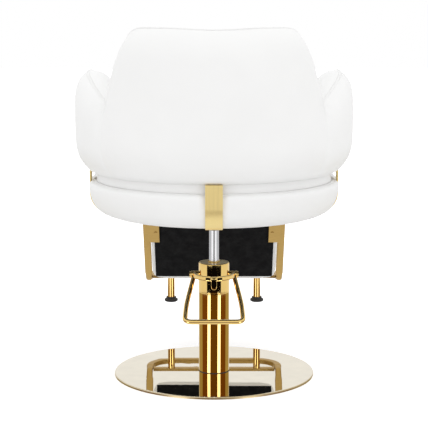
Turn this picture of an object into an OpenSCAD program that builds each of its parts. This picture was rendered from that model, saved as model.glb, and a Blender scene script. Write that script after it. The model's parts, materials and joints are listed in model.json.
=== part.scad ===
// Hairdressing chair on a hydraulic pump, with a padded tub, calf pad and footrest.
// Origin on the floor under the swivel axis, +Z up, the chair faces -Y.
// Millimetres.

/* [Base] */
// Diameter of the round base plate cover
base_d = 500; // [420:5:600]
// Height of the cover's top above the floor
base_h = 7; // [7:0.5:12]
// Sheet thickness of the cover
cover_t = 1.2; // [0.8:0.1:2]
// Thickness of the rubber floor ring
floor_pad_t = 1.2; // [1:0.1:2]

/* [Column] */
// Outer diameter of the column sleeve
sleeve_d = 76; // [72:1:90]
// Wall of the column sleeve
sleeve_t = 1.5; // [1:0.1:3]
// Height of the sleeve's top above the floor
sleeve_top = 211; // [180:1:250]
// Outer diameter of the pump barrel
barrel_d = 50; // [46:1:52]
// Wall of the pump barrel
barrel_wall = 4; // [3:0.5:5]
// Height of the pump head above the sleeve
head_h = 74; // [64:1:100]
// How far the pump head stands out past the sleeve
head_lip = 0.5; // [0:0.5:4]
// Diameter of the chrome piston
piston_d = 25; // [20:1:30]
// Height of the swivel hub under the seat plate
hub_h = 34; // [30:1:42]

/* [Pedal] */
// Height of the pedal pivot above the sleeve's top
pivot_up = 42; // [36:1:56]
// Diameter of the pivot pins
pin_d = 12; // [8:1:14]
// Outer diameter of the yoke's eyes
eye_d = 18; // [17:1:24]
// Width of one yoke eye along its pin
eye_w = 13; // [10:1:14]
// Height of the yoke band
yoke_h = 11; // [8:1:14]
// Thickness of the yoke band
yoke_t = 7; // [5:1:9]
// Width of the tongue at the yoke's centre
tongue_w = 14; // [10:1:22]
// Length of the tongue below the band
tongue_len = 22; // [14:1:26]
// Diameter of the pedal rod
rod_d = 12; // [8:1:14]
// Reach of the pedal's bottom bar behind the swivel axis
pedal_reach = 165; // [140:1:200]
// Drop of the bottom bar below the pivot
pedal_drop = 84; // [70:1:110]
// Width of the bottom bar between its corners
pedal_w = 142; // [126:1:170]

/* [Seat] */
// Height of the seat's underside at rest
seat_z = 416; // [400:1:460]
// Width of the seat drum
drum_w = 600; // [540:5:660]
// Height of the seat drum
drum_h = 83; // [72:1:100]
// Radius of the drum's rounded lower edge
drum_round = 52; // [44:1:56]
// Distance from swivel axis to the back of the drum
drum_rear = 332; // [300:1:360]
// Distance from swivel axis to the front of the drum
drum_front = 300; // [270:1:340]
// Gap between drum and tub, the height of the plinth
plinth_h = 23; // [16:1:30]
// Step in from the drum's edge to the plinth
plinth_in = 22; // [14:1:26]
// Thickness of the plywood seat board
board_t = 15; // [12:1:20]
// Thickness of the cushion at its edge
cushion_h = 22; // [16:1:40]
// Rise of the cushion's crown
cushion_crown = 18; // [8:1:26]

/* [Tub] */
// How far the tub's wall stands out over the drum
tub_over = 36; // [20:1:50]
// Thickness of the padded wall
wall_t = 80; // [70:1:90]
// Height of the back's top above the floor
back_top = 874; // [820:1:930]
// Height of the notch between back and arm
notch_z = 696; // [670:1:720]
// Height of the arm's peak
arm_z = 763; // [740:1:790]
// How far the arms reach in front of the swivel axis
arm_front = 250; // [200:1:280]

/* [Gold strips] */
// Width of a gold strip
strip_w = 40; // [30:1:50]
// Thickness of a gold strip
strip_t = 4; // [3:0.5:6]

/* [Calf pad] */
// Lean of the calf pad and the footrest's legs from upright
lean = 38; // [30:1:42]
// Gap between the calf pad and a side bar
calf_side_gap = 3; // [2:1:12]
// Gap between the calf pad's top and the seat's underside
calf_top_gap = 5; // [4:1:30]
// Thickness of the calf pad
calf_t = 50; // [40:1:52]
// Distance in front of the swivel axis of the pad's upper back edge
calf_top_y = 251.5; // [240:0.5:260]
// Height of the pad's lower back edge
calf_z = 155; // [150:1:190]
// White border above and below the black backing
calf_border = 13; // [6:1:16]
// White border at either side of the black backing
calf_side_border = 10; // [6:1:16]

/* [Footrest] */
// Width over the two side bars
foot_w = 390; // [380:2:410]
// Width of the flat bar
bar_w = 20; // [16:1:24]
// Thickness of the flat bar
bar_t = 14; // [8:1:16]
// Thickness of the cross bar
cross_t = 8; // [6:1:12]
// Height of the foot loop's underside
foot_z = 134; // [125:1:150]
// Flat run from a leg's lower bend to the cross bar
leg_run = 15.5; // [12:0.5:40]
// Gap between rear cross bar and front bar
foot_gap = 64; // [50:1:80]
// Outer corner radius of the front bar
foot_corner = 80; // [40:1:82]
// Distance between the two studs
stud_gap = 246; // [200:2:280]
// Diameter of a stud
stud_d = 20; // [14:1:22]
// Length of a stud below the cross bar
stud_len = 58; // [50:1:70]
// Diameter of a rubber foot
cup_d = 38; // [30:1:44]

/* [Hidden] */
$fn = 96;

gold = "goldenrod";
vinyl = "whitesmoke";

// Clearances: a slip fit, a running fit on radius, and a soft piece's gap
slip = 0.1;
run_fit = 0.05;
soft_gap = 0.3;

// Base
cover_z = base_h - cover_t;
cover_edge = 2.5;
cover_lip_z = 0.8;
ballast_r = base_d / 2 - 6;
pad_edge_in = 10;
pad_width = 85;
socket_gap = 1;
socket_d = sleeve_d - 2 * (sleeve_t + socket_gap);
socket_h = 38;
screw_d = 6;
screw_head_d = 11;
screw_head_h = 3;
screw_bite = 22;
screw_spare = 4;
screw_pcd = (socket_d + barrel_d) / 2;

// Plates, rails and bolts that join the column to the seat
rail_t = 10;
rail_w = 30;
rail_len = 360;
rail_gap = 140;
plate_w = 180;
plate_t = 6;
plate_z = seat_z - rail_t - plate_t;
bolt_d = 8;
bolt_head_d = 14;
bolt_head_h = 5;
bolt_sunk = 2;
plate_bolt_gap_y = 140;

// Pump
head_d = sleeve_d + 2 * head_lip;
head_z = sleeve_top;
head_top = head_z + head_h;
head_edge = 2.5;
barrel_top = head_z + 21;
barrel_floor = cover_z + 8;
bore_d = barrel_d - 2 * barrel_wall;
gland_d = piston_d + 5;
gland_h = 3;
wiper_d = piston_d + 3;
wiper_h = 4;
piston_foot = 96;
piston_neck_d = piston_d - 7;
piston_head_h = 14;
seal_h = 4;
seal_depth = 3;
nut_h = 8;
nut_d = piston_neck_d + 12;
thread_spare = 2;
hub_d = piston_d + 7;
hub_bevel = 2;
hub_z = plate_z - hub_h;
hub_wall_top = 7;
washer_t = 3;
rod_top = plate_z - hub_wall_top - washer_t;

// Pedal
pivot_z = sleeve_top + pivot_up;
eye_in = head_d / 2 + 6.5;
boss_d = eye_d - 1;
pin_head_d = eye_d - 2;
pin_head_h = 3;
pin_in = piston_d / 2 + 17.5;
yoke_side = eye_in + 1;
yoke_rear = head_d / 2 + 18.5;
loop_top_x = eye_in + rod_d / 2;
loop_top_y = 8;
loop_top_drop = 5.5;
loop_corner = 16;
kink_in = 4.5;
kink_at = 0.6;

// Seat plan: a round back half and a squarer front half
rear_r = drum_w / 2;
plan_y = drum_rear - rear_r;
plan_front = drum_front + plan_y;
plan_power = 4.5;
drum_z = seat_z;
drum_top = drum_z + drum_h;
plinth_top = drum_top + plinth_h;
board_in = drum_round - 8;
cover_sheet_t = 1;
cushion_board_t = 12;
cushion_board_in = 6;

// Tub wall: layers from the outside in
tub_r = rear_r + tub_over;
tub_y = plan_y - 2;
tub_z = plinth_top;
cover_layer = 28;
core_layer = 10;
core_drop = 10;
core_top_gap = 2;
foot_in = 40;
lumbar = 16;
notch_angle = 53;
shoulder_angle = 28;
shoulder_fall = 2;
arm_end = 44;
arm_nose = 90;
arm_fall = 22;
inner_r = tub_r - wall_t;

// Cushion: its reach forward of the tub's centre, and the half width that its crown can use
cushion_front = drum_front - plinth_in + tub_y;
crown_r = min(inner_r, cushion_front);

// Gold strips
strip_grip = drum_round + 33;
strip_ledge = plinth_in - 2;
strip_screw_in = drum_round + 18;
strip_screw_d = 5;
strip_screw_head_d = 9;
strip_screw_head_h = 2.5;

// Footrest
flange_len = 150;
leg_bend_top = 18;
leg_bend_low = 28;
leg_bolt_at = [0.45, 0.85];
leg_bolt_head_d = 10;
leg_bolt_head_h = 4;
leg_bolt_spare = 3;
cross_z = foot_z + bar_t - cross_t;
cup_h = 14;
cup_depth = 3;
cup_lip_z = 2;
cup_lip_h = 5;
cup_side_h = 9;
cup_bevel = 3;
cup_neck = 4;

// Calf pad and its brackets
backing_t = 0.8;
calf_board_t = 12;
bracket_t = 4;
bracket_w = 31;
bracket_len = 127;
bracket_lap = 4;
bracket_top_in = 6;
bracket_leg_t = 2.6;
bracket_leg_len = 100;
leg_offset = 43;
button_d = 8;
button_h = 1.6;
calf_w = foot_w - 2 * (bar_w + calf_side_gap);
calf_len = (seat_z - calf_top_gap - calf_t * sin(lean) - calf_z) / cos(lean);
calf_y = calf_top_y + calf_len * sin(lean);

// Distances forward along the footrest
leg_low_y = calf_y - (foot_z + bar_t / 2 - calf_z) * tan(lean) + (leg_offset + bar_t / 2) / cos(lean);
cross_y = leg_low_y + leg_run;
stud_y = cross_y + bar_w / 2;
foot_front_y = cross_y + bar_w + foot_gap + bar_w;

// Point on the seat plan at angle a from the back, moved in by inset
function plan_point(a, inset) =
    let (r = rear_r - inset)
    abs(a) <= 90
        ? [r * sin(a), plan_y + r * cos(a)]
        : let (
              c = abs(cos(a)),
              s = abs(sin(a)),
              f = plan_front - inset,
              k = pow(pow(s / r, plan_power) + pow(c / f, plan_power), -1 / plan_power)
          )
          [k * s * sign(a), plan_y - k * c];
function plan_ring(inset, count = 72) = [
    for (i = [0:count - 1]) plan_point(180 - 360 * (i + 0.5) / count, inset)
];

// Closed skin over a stack of rings, each ring a list of [x, y, z] points
module skin(rings) {
    n = len(rings[0]);
    m = len(rings);
    points = [for (ring = rings) each ring];
    sides = [
        for (j = [0:m - 2], i = [0:n - 1])
        let (a = j * n + i, b = j * n + (i + 1) % n)
        each [[a, b, b + n], [a, b + n, a + n]]
    ];
    bottom = [for (i = [1:n - 2]) [0, i + 1, i]];
    top = [for (i = [1:n - 2]) [(m - 1) * n, (m - 1) * n + i, (m - 1) * n + i + 1]];
    polyhedron(points, concat(sides, bottom, top), convexity = 6);
}

// Stack of plan rings, each level given as [inset, height]
module plan_body(levels, count = 72) {
    skin([
        for (level = levels)
        [for (p = plan_ring(level[0], count)) [p[0], p[1], level[1]]]
    ]);
}

// Round rod swept along points that lie in one plane with the given normal
module planar_rod(points, normal, r, sides = 12) {
    n = len(points);
    skin([
        for (i = [0:n - 1])
        let (
            a = points[max(i - 1, 0)],
            b = points[min(i + 1, n - 1)],
            t = (b - a) / norm(b - a),
            u = cross(normal, t),
            before = (points[i] - a) / max(norm(points[i] - a), 0.001),
            half_turn = (i == 0 || i == n - 1) ? 1 : max(0.5, before * t)
        )
        [
            for (k = [0:sides - 1])
            let (w = 360 * k / sides)
            points[i] + r * cos(w) * u / half_turn + r * sin(w) * normal
        ]
    ]);
}

module ring(outer_d, inner_d, h) {
    difference() {
        cylinder(h = h, d = outer_d);
        translate([0, 0, -1])
            cylinder(h = h + 2, d = inner_d);
    }
}

module at_screw_circle(count, pcd) {
    for (i = [0:count - 1])
        rotate([0, 0, 45 + 360 * i / count])
            translate([pcd / 2, 0, 0])
                children();
}

module both_sides() {
    children();
    mirror([1, 0, 0])
        children();
}

// Base

module floor_pad() {
    color("dimgray")
        ring(2 * (ballast_r - pad_edge_in), 2 * (ballast_r - pad_edge_in - pad_width), floor_pad_t);
}

module base_ballast() {
    color("slategray")
        difference() {
            translate([0, 0, floor_pad_t])
                cylinder(h = cover_z - floor_pad_t, r = ballast_r);
            at_screw_circle(4, screw_pcd) {
                cylinder(h = cover_z + 1, d = screw_d + 4 * slip);
                translate([0, 0, floor_pad_t - 1])
                    cylinder(h = screw_head_h + 1 + slip, d = screw_head_d + 4 * slip);
            }
        }
}

module base_cover() {
    hole_r = socket_d / 2 + slip;
    color(gold)
        rotate_extrude()
            difference() {
                union() {
                    translate([hole_r, cover_lip_z])
                        square([base_d / 2 - cover_edge - hole_r, base_h - cover_lip_z]);
                    translate([hole_r, cover_lip_z])
                        square([base_d / 2 - hole_r, base_h - cover_edge - cover_lip_z]);
                    translate([base_d / 2 - cover_edge, base_h - cover_edge])
                        circle(r = cover_edge);
                }
                translate([0, -1])
                    square([ballast_r + slip, cover_z + 1]);
            }
}

module base_bolts() {
    color("silver")
        at_screw_circle(4, screw_pcd) {
            translate([0, 0, floor_pad_t])
                cylinder(h = screw_head_h, d = screw_head_d);
            translate([0, 0, floor_pad_t])
                cylinder(h = cover_z - floor_pad_t + screw_bite, d = screw_d);
        }
}

module pump_socket() {
    color("slategray")
        difference() {
            translate([0, 0, cover_z])
                ring(socket_d, barrel_d + 2 * slip, socket_h);
            at_screw_circle(4, screw_pcd)
                translate([0, 0, cover_z - 1])
                    cylinder(h = 1 + screw_bite + screw_spare, d = screw_d + slip);
        }
}

module column_sleeve() {
    color(gold)
        translate([0, 0, base_h])
            ring(sleeve_d, sleeve_d - 2 * sleeve_t, sleeve_top - base_h);
}

// Pump

module pump_barrel() {
    color("slategray")
        difference() {
            translate([0, 0, cover_z])
                cylinder(h = barrel_top - cover_z, d = barrel_d);
            translate([0, 0, barrel_floor])
                cylinder(h = barrel_top, d = bore_d);
        }
}

module pump_head() {
    color(gold)
        difference() {
            union() {
                translate([0, 0, head_z])
                    rotate_extrude()
                        union() {
                            square([head_d / 2 - head_edge, head_h]);
                            square([head_d / 2, head_h - head_edge]);
                            translate([head_d / 2 - head_edge, head_h - head_edge])
                                circle(r = head_edge);
                        }
                both_sides()
                    translate([pin_in, 0, pivot_z])
                        rotate([0, 90, 0])
                            cylinder(h = eye_in - slip - pin_in, d = boss_d);
            }
            translate([0, 0, head_z - 1])
                cylinder(h = barrel_top - head_z + 1, d = barrel_d + 2 * slip);
            translate([0, 0, head_z])
                cylinder(h = head_h + 1, d = piston_d + 2 * run_fit);
            translate([0, 0, head_top - wiper_h])
                cylinder(h = wiper_h + 1, d = wiper_d + slip);
            both_sides()
                translate([pin_in, 0, pivot_z])
                    rotate([0, 90, 0])
                        cylinder(h = head_d, d = pin_d + slip);
        }
}

module wiper_seal() {
    color("black")
        translate([0, 0, head_top - wiper_h])
            ring(wiper_d, piston_d + 2 * run_fit, wiper_h);
}

module gland_ring() {
    color(gold)
        translate([0, 0, head_top])
            ring(gland_d, piston_d + 2 * run_fit, gland_h);
}

module pedal_pins() {
    color(gold)
        both_sides()
            translate([pin_in, 0, pivot_z])
                rotate([0, 90, 0]) {
                    cylinder(h = eye_in + eye_w + soft_gap - pin_in, d = pin_d);
                    translate([0, 0, eye_in + eye_w + soft_gap - pin_in])
                        cylinder(h = pin_head_h, d = pin_head_d);
                }
}

// Piston

module piston_rod() {
    color("gainsboro") {
        translate([0, 0, piston_foot + piston_head_h])
            cylinder(h = rod_top - piston_foot - piston_head_h, d = piston_d);
        translate([0, 0, piston_foot - nut_h - thread_spare])
            cylinder(h = thread_spare + nut_h + piston_head_h + 1, d = piston_neck_d);
    }
}

module piston_head() {
    color("slategray")
        translate([0, 0, piston_foot])
            difference() {
                ring(bore_d - 2 * slip, piston_neck_d + slip, piston_head_h);
                translate([0, 0, (piston_head_h - seal_h) / 2])
                    ring(bore_d, bore_d - 2 * seal_depth, seal_h);
            }
}

module piston_seal() {
    color("black")
        translate([0, 0, piston_foot + (piston_head_h - seal_h) / 2])
            ring(bore_d - 2 * run_fit, bore_d - 2 * seal_depth, seal_h);
}

module piston_nut() {
    color("silver")
        translate([0, 0, piston_foot - nut_h])
            difference() {
                cylinder(h = nut_h, d = nut_d, $fn = 6);
                translate([0, 0, -1])
                    cylinder(h = nut_h + 2, d = piston_neck_d + slip);
            }
}

module thrust_washer() {
    color("peru")
        translate([0, 0, rod_top])
            cylinder(h = washer_t, d = piston_d - 2 * slip);
}

// Pedal

function yoke_arc(inset, count = 24) = [
    for (i = [0:count])
    let (a = 180 * i / count)
    [(yoke_side + inset) * cos(a), (yoke_rear + inset) * sin(a)]
];

module pedal_yoke() {
    inner = yoke_arc(0);
    outer = yoke_arc(yoke_t);
    color(gold)
        difference() {
            union() {
                translate([0, 0, pivot_z - yoke_h / 2])
                    linear_extrude(height = yoke_h)
                        polygon(concat(outer, [for (i = [len(inner) - 1:-1:0]) inner[i]]));
                both_sides()
                    translate([eye_in, 0, pivot_z])
                        rotate([0, 90, 0])
                            cylinder(h = eye_w, d = eye_d);
                translate([0, yoke_rear + yoke_t, pivot_z])
                    rotate([90, 0, 0])
                        linear_extrude(height = yoke_t - 1) {
                            translate([-tongue_w / 2, -yoke_h / 2 - tongue_len + tongue_w / 2])
                                square([tongue_w, tongue_len + yoke_h / 2 - tongue_w / 2]);
                            translate([0, -yoke_h / 2 - tongue_len + tongue_w / 2])
                                circle(d = tongue_w);
                        }
            }
            translate([-head_d, 0, pivot_z])
                rotate([0, 90, 0])
                    cylinder(h = 2 * head_d, d = pin_d + 2 * run_fit);
        }
}

// The pedal's rod lies in one sloping plane from eye to eye, with a slight kink in each side
module pedal_loop() {
    start = [loop_top_x, loop_top_y, pivot_z - loop_top_drop];
    low = [pedal_w / 2, pedal_reach, pivot_z - pedal_drop];
    kink = [
        low[0] - kink_in,
        start[1] + kink_at * (low[1] - start[1]),
        start[2] + kink_at * (low[2] - start[2])
    ];
    down = unit(low - kink);
    across = [-1, 0, 0];
    normal = unit(cross(down, across));
    turn = acos(down * across);
    bend_start = low - down * loop_corner / tan((180 - turn) / 2);
    steps = 6;
    half = concat(
        [start, kink],
        [
            for (i = [0:steps])
            let (
                f = i / steps,
                a = bend_start,
                c = low + across * loop_corner / tan((180 - turn) / 2)
            )
            (1 - f) * (1 - f) * a + 2 * f * (1 - f) * low + f * f * c
        ]
    );
    back = [for (i = [len(half) - 1:-1:0]) [-half[i][0], half[i][1], half[i][2]]];
    color(gold)
        planar_rod(concat(half, back), normal, rod_d / 2);
}

// Seat structure

module swivel_hub() {
    color("dimgray")
        difference() {
            union() {
                translate([0, 0, hub_z])
                    cylinder(h = hub_bevel, d1 = hub_d - 2 * hub_bevel, d2 = hub_d);
                translate([0, 0, hub_z + hub_bevel])
                    cylinder(h = hub_h - hub_bevel, d = hub_d);
            }
            translate([0, 0, hub_z - 1])
                cylinder(h = hub_h - hub_wall_top + 1, d = piston_d + 2 * run_fit);
        }
}

module at_plate_bolts() {
    for (x = [-1, 1], y = [-1, 1])
        translate([x * rail_gap / 2, y * plate_bolt_gap_y / 2, 0])
            children();
}

module mount_plate() {
    color("dimgray")
        difference() {
            translate([-plate_w / 2, -plate_w / 2, plate_z])
                cube([plate_w, plate_w, plate_t]);
            at_plate_bolts()
                translate([0, 0, plate_z - 1])
                    cylinder(h = plate_t + 2, d = bolt_d + 4 * slip);
        }
}

module seat_rails() {
    color("dimgray")
        difference() {
            both_sides()
                translate([(rail_gap - rail_w) / 2, -rail_len / 2, seat_z - rail_t])
                    cube([rail_w, rail_len, rail_t]);
            at_plate_bolts()
                translate([0, 0, seat_z - rail_t - 1])
                    cylinder(h = rail_t + 2, d = bolt_d + 4 * slip);
        }
}

module plate_bolts() {
    color("silver")
        at_plate_bolts() {
            translate([0, 0, plate_z - bolt_head_h])
                cylinder(h = bolt_head_h, d = bolt_head_d, $fn = 6);
            translate([0, 0, plate_z - 1])
                cylinder(h = 1 + plate_t + rail_t + board_t - bolt_sunk, d = bolt_d);
        }
}

module at_leg_bolts() {
    both_sides()
        for (k = leg_bolt_at)
            translate([foot_w / 2 - bar_w / 2, -leg_y(seat_z - bar_t) + flange_len * k, 0])
                children();
}

module seat_board() {
    color("burlywood")
        difference() {
            translate([0, 0, seat_z + cover_sheet_t])
                linear_extrude(height = board_t)
                    polygon(plan_ring(board_in));
            at_plate_bolts()
                translate([0, 0, seat_z])
                    cylinder(h = board_t, d = bolt_d + slip);
            at_leg_bolts()
                translate([0, 0, seat_z])
                    cylinder(h = board_t - bolt_sunk, d = screw_d + slip);
        }
}

module dust_cover() {
    color("black")
        difference() {
            translate([0, 0, seat_z])
                linear_extrude(height = cover_sheet_t)
                    polygon(plan_ring(board_in));
            at_plate_bolts()
                translate([0, 0, seat_z - 1])
                    cylinder(h = 3, d = bolt_d + 1);
            at_leg_bolts()
                translate([0, 0, seat_z - 1])
                    cylinder(h = 3, d = screw_d + 1);
        }
}

// Upholstered drum with a pocket for its board, rounded below and drawn in above
module seat_drum() {
    pocket_in = board_in - soft_gap;
    pocket_h = cover_sheet_t + board_t + soft_gap;
    color(vinyl)
        skin([
            for (level = concat(
                [[pocket_in, drum_z + pocket_h], [pocket_in, drum_z]],
                [for (a = [75:-15:0]) [drum_round * (1 - cos(a)), drum_z + drum_round * (1 - sin(a))]],
                [[1, drum_top - 12], [3, drum_top - 4], [9, drum_top]]
            ))
            [for (p = plan_ring(level[0])) [p[0], p[1], level[1]]]
        ]);
}

module seat_plinth() {
    color(vinyl)
        translate([0, 0, drum_top])
            linear_extrude(height = plinth_h)
                polygon(plan_ring(plinth_in));
}

// Plan of the cushion: half-round behind, squared off between the arms in front
function cushion_ring(inset, z, count = 60) = [
    for (i = [0:count - 1])
    let (
        a = 180 - 360 * (i + 0.5) / count,
        r = inner_r - soft_gap - inset,
        f = cushion_front - inset,
        c = abs(cos(a)),
        s = abs(sin(a)),
        k = pow(pow(s / r, plan_power) + pow(c / f, plan_power), -1 / plan_power)
    )
    abs(a) <= 90
        ? [r * sin(a), tub_y + (r - lumbar) * cos(a), z]
        : [k * s * sign(a), tub_y - k * c, z]
];

module cushion_board() {
    color("burlywood")
        translate([0, 0, plinth_top])
            linear_extrude(height = cushion_board_t)
                polygon([for (p = cushion_ring(cushion_board_in, 0)) [p[0], p[1]]]);
}

// Crowned cushion whose sides pull in towards its board
module seat_cushion() {
    base = plinth_top + cushion_board_t;
    color(vinyl)
        skin([
            for (level = [
                [5, base],
                [1, base + cushion_h * 0.35],
                [0, base + cushion_h * 0.65],
                [3, base + cushion_h * 0.9],
                [8, base + cushion_h],
                [crown_r * 0.12, base + cushion_h + cushion_crown * 0.38],
                [crown_r * 0.27, base + cushion_h + cushion_crown * 0.72],
                [crown_r * 0.51, base + cushion_h + cushion_crown * 0.94],
                [crown_r * 0.78, base + cushion_h + cushion_crown]
            ])
            cushion_ring(level[0], level[1])
        ]);
}

// Tub: one padded wall that runs round the back and forward as two arms

// Crest height at angle a from the back: shoulder, notch, then the rise of the arm
function crest(a) =
    let (
        w = abs(a),
        t = pow(min(1, max(0, (w - shoulder_angle) / (notch_angle - shoulder_angle))), shoulder_fall),
        back = back_top - 2 - (back_top - 2 - notch_z) * t * t * (3 - 2 * t),
        arm = notch_z + (arm_z - notch_z) * sin(90 * min(1, max(0, (w - notch_angle) / (90 - notch_angle))))
    )
    w < notch_angle ? back + 2 * max(0, cos(3 * w)) : arm;

// Height of the arm's crest at a distance forward of the round back
function arm_crest(d, reach) =
    let (
        t = d / reach,
        u = min(1, max(0, (t - 0.5) / 0.5))
    )
    arm_z - arm_fall * t * t - (arm_z - arm_fall - tub_z - arm_nose) * (1 - sqrt(1 - u * u));

// Stations round the wall: [x, y, outward x, outward y, crest, thickness factor, lumbar factor]
function round_station(a) = [
    tub_r * sin(a), tub_y + tub_r * cos(a), sin(a), cos(a), crest(a), 1, max(0, cos(1.7 * a))
];
function arm_station(side, d) =
    let (
        reach = arm_front + tub_y,
        e = max(0, d - (reach - arm_end)) / arm_end
    )
    [side * tub_r, tub_y - d, side, 0, arm_crest(d, reach), max(0.16, sqrt(max(0, 1 - e * e))), 0];
arm_steps = [for (d = [24:30:arm_front + tub_y - arm_end - 10]) d];
arm_ends = [
    for (k = [0, 0.3, 0.55, 0.75, 0.9, 0.97, 1]) arm_front + tub_y - arm_end + arm_end * k
];
arm_dists = concat(arm_steps, arm_ends);
stations = concat(
    [for (i = [len(arm_dists) - 1:-1:0]) arm_station(-1, arm_dists[i])],
    [for (a = [-90:3.75:90]) round_station(a)],
    [for (d = arm_dists) arm_station(1, d)]
);

// Section point r outward from the wall's outer face, in height z
function wall_point(s, r, z) =
    let (
        mid = -wall_t / 2,
        q = mid + (r - mid) * s[5]
    )
    [s[0] + s[2] * q, s[1] + s[3] * q, z];

// The sections' rounded feet and tops shrink together where the wall is low
function section_scale(s) = min(1, (s[4] - tub_z) / 200);

function cover_section(s) =
    let (z = tub_z, c = s[4], k = section_scale(s))
    [
        [-cover_layer, z + 11 * k], [-18, z + 22 * k], [-8, z + 38 * k], [-2, z + 60 * k],
        [0, z + 85 * k], [0, c - 66 * k], [-5, c - 34 * k], [-15, c - 14 * k], [-cover_layer, c]
    ];
function core_section(s) =
    let (
        z = tub_z,
        c = s[4] - core_drop - core_top_gap,
        k = section_scale(s),
        inner = -cover_layer - core_layer
    )
    [[inner, z + 4 * k], [-cover_layer, z + 11 * k], [-cover_layer, c], [inner, c]];

// Starts at the step over the core's top, the one point that sees the whole section
function lining_section(s) =
    let (
        z = tub_z,
        c = s[4],
        k = section_scale(s),
        inner = -cover_layer - core_layer,
        bulge = lumbar * s[6]
    )
    [
        [inner, c - core_drop], [-cover_layer, c - core_drop], [-cover_layer, c],
        [30 - wall_t, c - 5 * k], [14 - wall_t, c - 15 * k], [4 - wall_t, c - 28 * k], [-wall_t, c - 44 * k],
        [-wall_t - bulge, z + 150 * k], [-wall_t - bulge, z + 60 * k],
        [-wall_t + 4, z], [-foot_in, z], [inner, z + 4 * k]
    ];

module wall_loft(sections) {
    skin([
        for (i = [0:len(stations) - 1])
        [for (p = sections[i]) wall_point(stations[i], p[0], p[1])]
    ]);
}

module tub_cover() {
    color(vinyl)
        wall_loft([for (s = stations) cover_section(s)]);
}

module tub_core() {
    color("burlywood")
        wall_loft([for (s = stations) core_section(s)]);
}

module tub_lining() {
    color(vinyl)
        wall_loft([for (s = stations) lining_section(s)]);
}

// Gold strips: each hangs from the tub's foot, follows the drum's rounded edge and reaches under its board

module strip() {
    function on_drum(a, out) = [
        (drum_round + out) * cos(a) - drum_round,
        seat_z + drum_round - (drum_round + out) * sin(a)
    ];
    translate([-strip_w / 2, 0, 0])
        rotate([90, 0, 90])
            linear_extrude(height = strip_w)
                polygon(concat(
                    [[-strip_ledge, tub_z], [strip_t, tub_z]],
                    [for (a = [0:7.5:90]) on_drum(a, strip_t)],
                    [[-strip_grip, seat_z - strip_t], [-strip_grip, seat_z], [soft_gap - board_in, seat_z]],
                    [for (a = [75:-7.5:0]) on_drum(a, 0)],
                    [[0, tub_z - strip_t], [-strip_ledge, tub_z - strip_t]]
                ));
}

module drilled_strip() {
    difference() {
        strip();
        at_strip_screws()
            translate([0, 0, seat_z - strip_t - 1])
                cylinder(h = strip_t + 2, d = strip_screw_d + 2 * slip);
    }
}

module at_strip_screws() {
    for (x = [-1, 1])
        translate([x * strip_w / 4, -strip_screw_in, 0])
            children();
}

module at_strips() {
    for (a = [0, 90, -90])
        rotate_about(a)
            children();
}

// Turns a piece made at the drum's back by angle a round the drum's own centre
module rotate_about(a) {
    translate([0, plan_y, 0])
        rotate([0, 0, a])
            translate([0, rear_r, 0])
                children();
}

module back_strip() {
    color(gold)
        rotate_about(0)
            drilled_strip();
}

module side_strip_left() {
    color(gold)
        rotate_about(90)
            drilled_strip();
}

module side_strip_right() {
    color(gold)
        rotate_about(-90)
            drilled_strip();
}

module strip_screws() {
    color("silver")
        at_strips()
            at_strip_screws() {
                translate([0, 0, seat_z - strip_t - strip_screw_head_h])
                    cylinder(h = strip_screw_head_h, d = strip_screw_head_d);
                translate([0, 0, seat_z - strip_t - 1])
                    cylinder(h = strip_t + 1, d = strip_screw_d);
            }
}

// Footrest

// Distance forward of a leg's centre line at height z on its sloping run
function leg_y(z) = calf_y - (z - calf_z) * tan(lean) + (leg_offset + bar_t / 2) / cos(lean);

// Centre line of a leg in the plane of distance forward and height
function leg_path() =
    let (
        top = [leg_y(seat_z - bar_t / 2), seat_z - bar_t / 2],
        low = [leg_low_y, foot_z + bar_t / 2]
    )
    [[top[0] - flange_len, top[1]], top, low, [cross_y + bar_w, foot_z + bar_t / 2]];

function unit(v) = v / norm(v);

// Rounded corner of radius r at b between a and c, as points on the centre line
function fillet(a, b, c, r, steps = 5) =
    let (
        u = unit(a - b),
        w = unit(c - b),
        half = acos(u * w) / 2,
        cut = r / tan(half),
        p = b + u * cut,
        q = b + w * cut
    )
    [
        for (i = [0:steps])
        let (f = i / steps)
        (1 - f) * (1 - f) * p + 2 * f * (1 - f) * b + f * f * q
    ];

// Outline of a strip of thickness t along a centre line
function thick_line(path, t) =
    let (
        n = len(path),
        normals = [
            for (i = [0:n - 1])
            let (d = unit(path[min(i + 1, n - 1)] - path[max(i - 1, 0)]))
            [-d[1], d[0]]
        ]
    )
    concat(
        [for (i = [0:n - 1]) path[i] + normals[i] * t / 2],
        [for (i = [n - 1:-1:0]) path[i] - normals[i] * t / 2]
    );

module footrest_leg() {
    path = leg_path();
    line = concat(
        [path[0]],
        fillet(path[0], path[1], path[2], leg_bend_top),
        fillet(path[1], path[2], path[3], leg_bend_low),
        [path[3]]
    );
    difference() {
        translate([foot_w / 2 - bar_w, 0, 0])
            rotate([90, 0, 90])
                linear_extrude(height = bar_w)
                    polygon([for (p = thick_line(line, bar_t)) [-p[0], p[1]]]);
        at_leg_bolts()
            translate([0, 0, seat_z - bar_t - 1])
                cylinder(h = bar_t + 2, d = screw_d + 4 * slip);
    }
}

module footrest_leg_left() {
    color(gold)
        mirror([1, 0, 0])
            footrest_leg();
}

module footrest_leg_right() {
    color(gold)
        footrest_leg();
}

module footrest_bolts() {
    color("silver")
        at_leg_bolts() {
            translate([0, 0, seat_z - bar_t - leg_bolt_head_h])
                cylinder(h = leg_bolt_head_h, d = leg_bolt_head_d, $fn = 6);
            translate([0, 0, seat_z - bar_t - 1])
                cylinder(h = 1 + bar_t + board_t - leg_bolt_spare - bolt_sunk, d = screw_d);
        }
}

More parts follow.
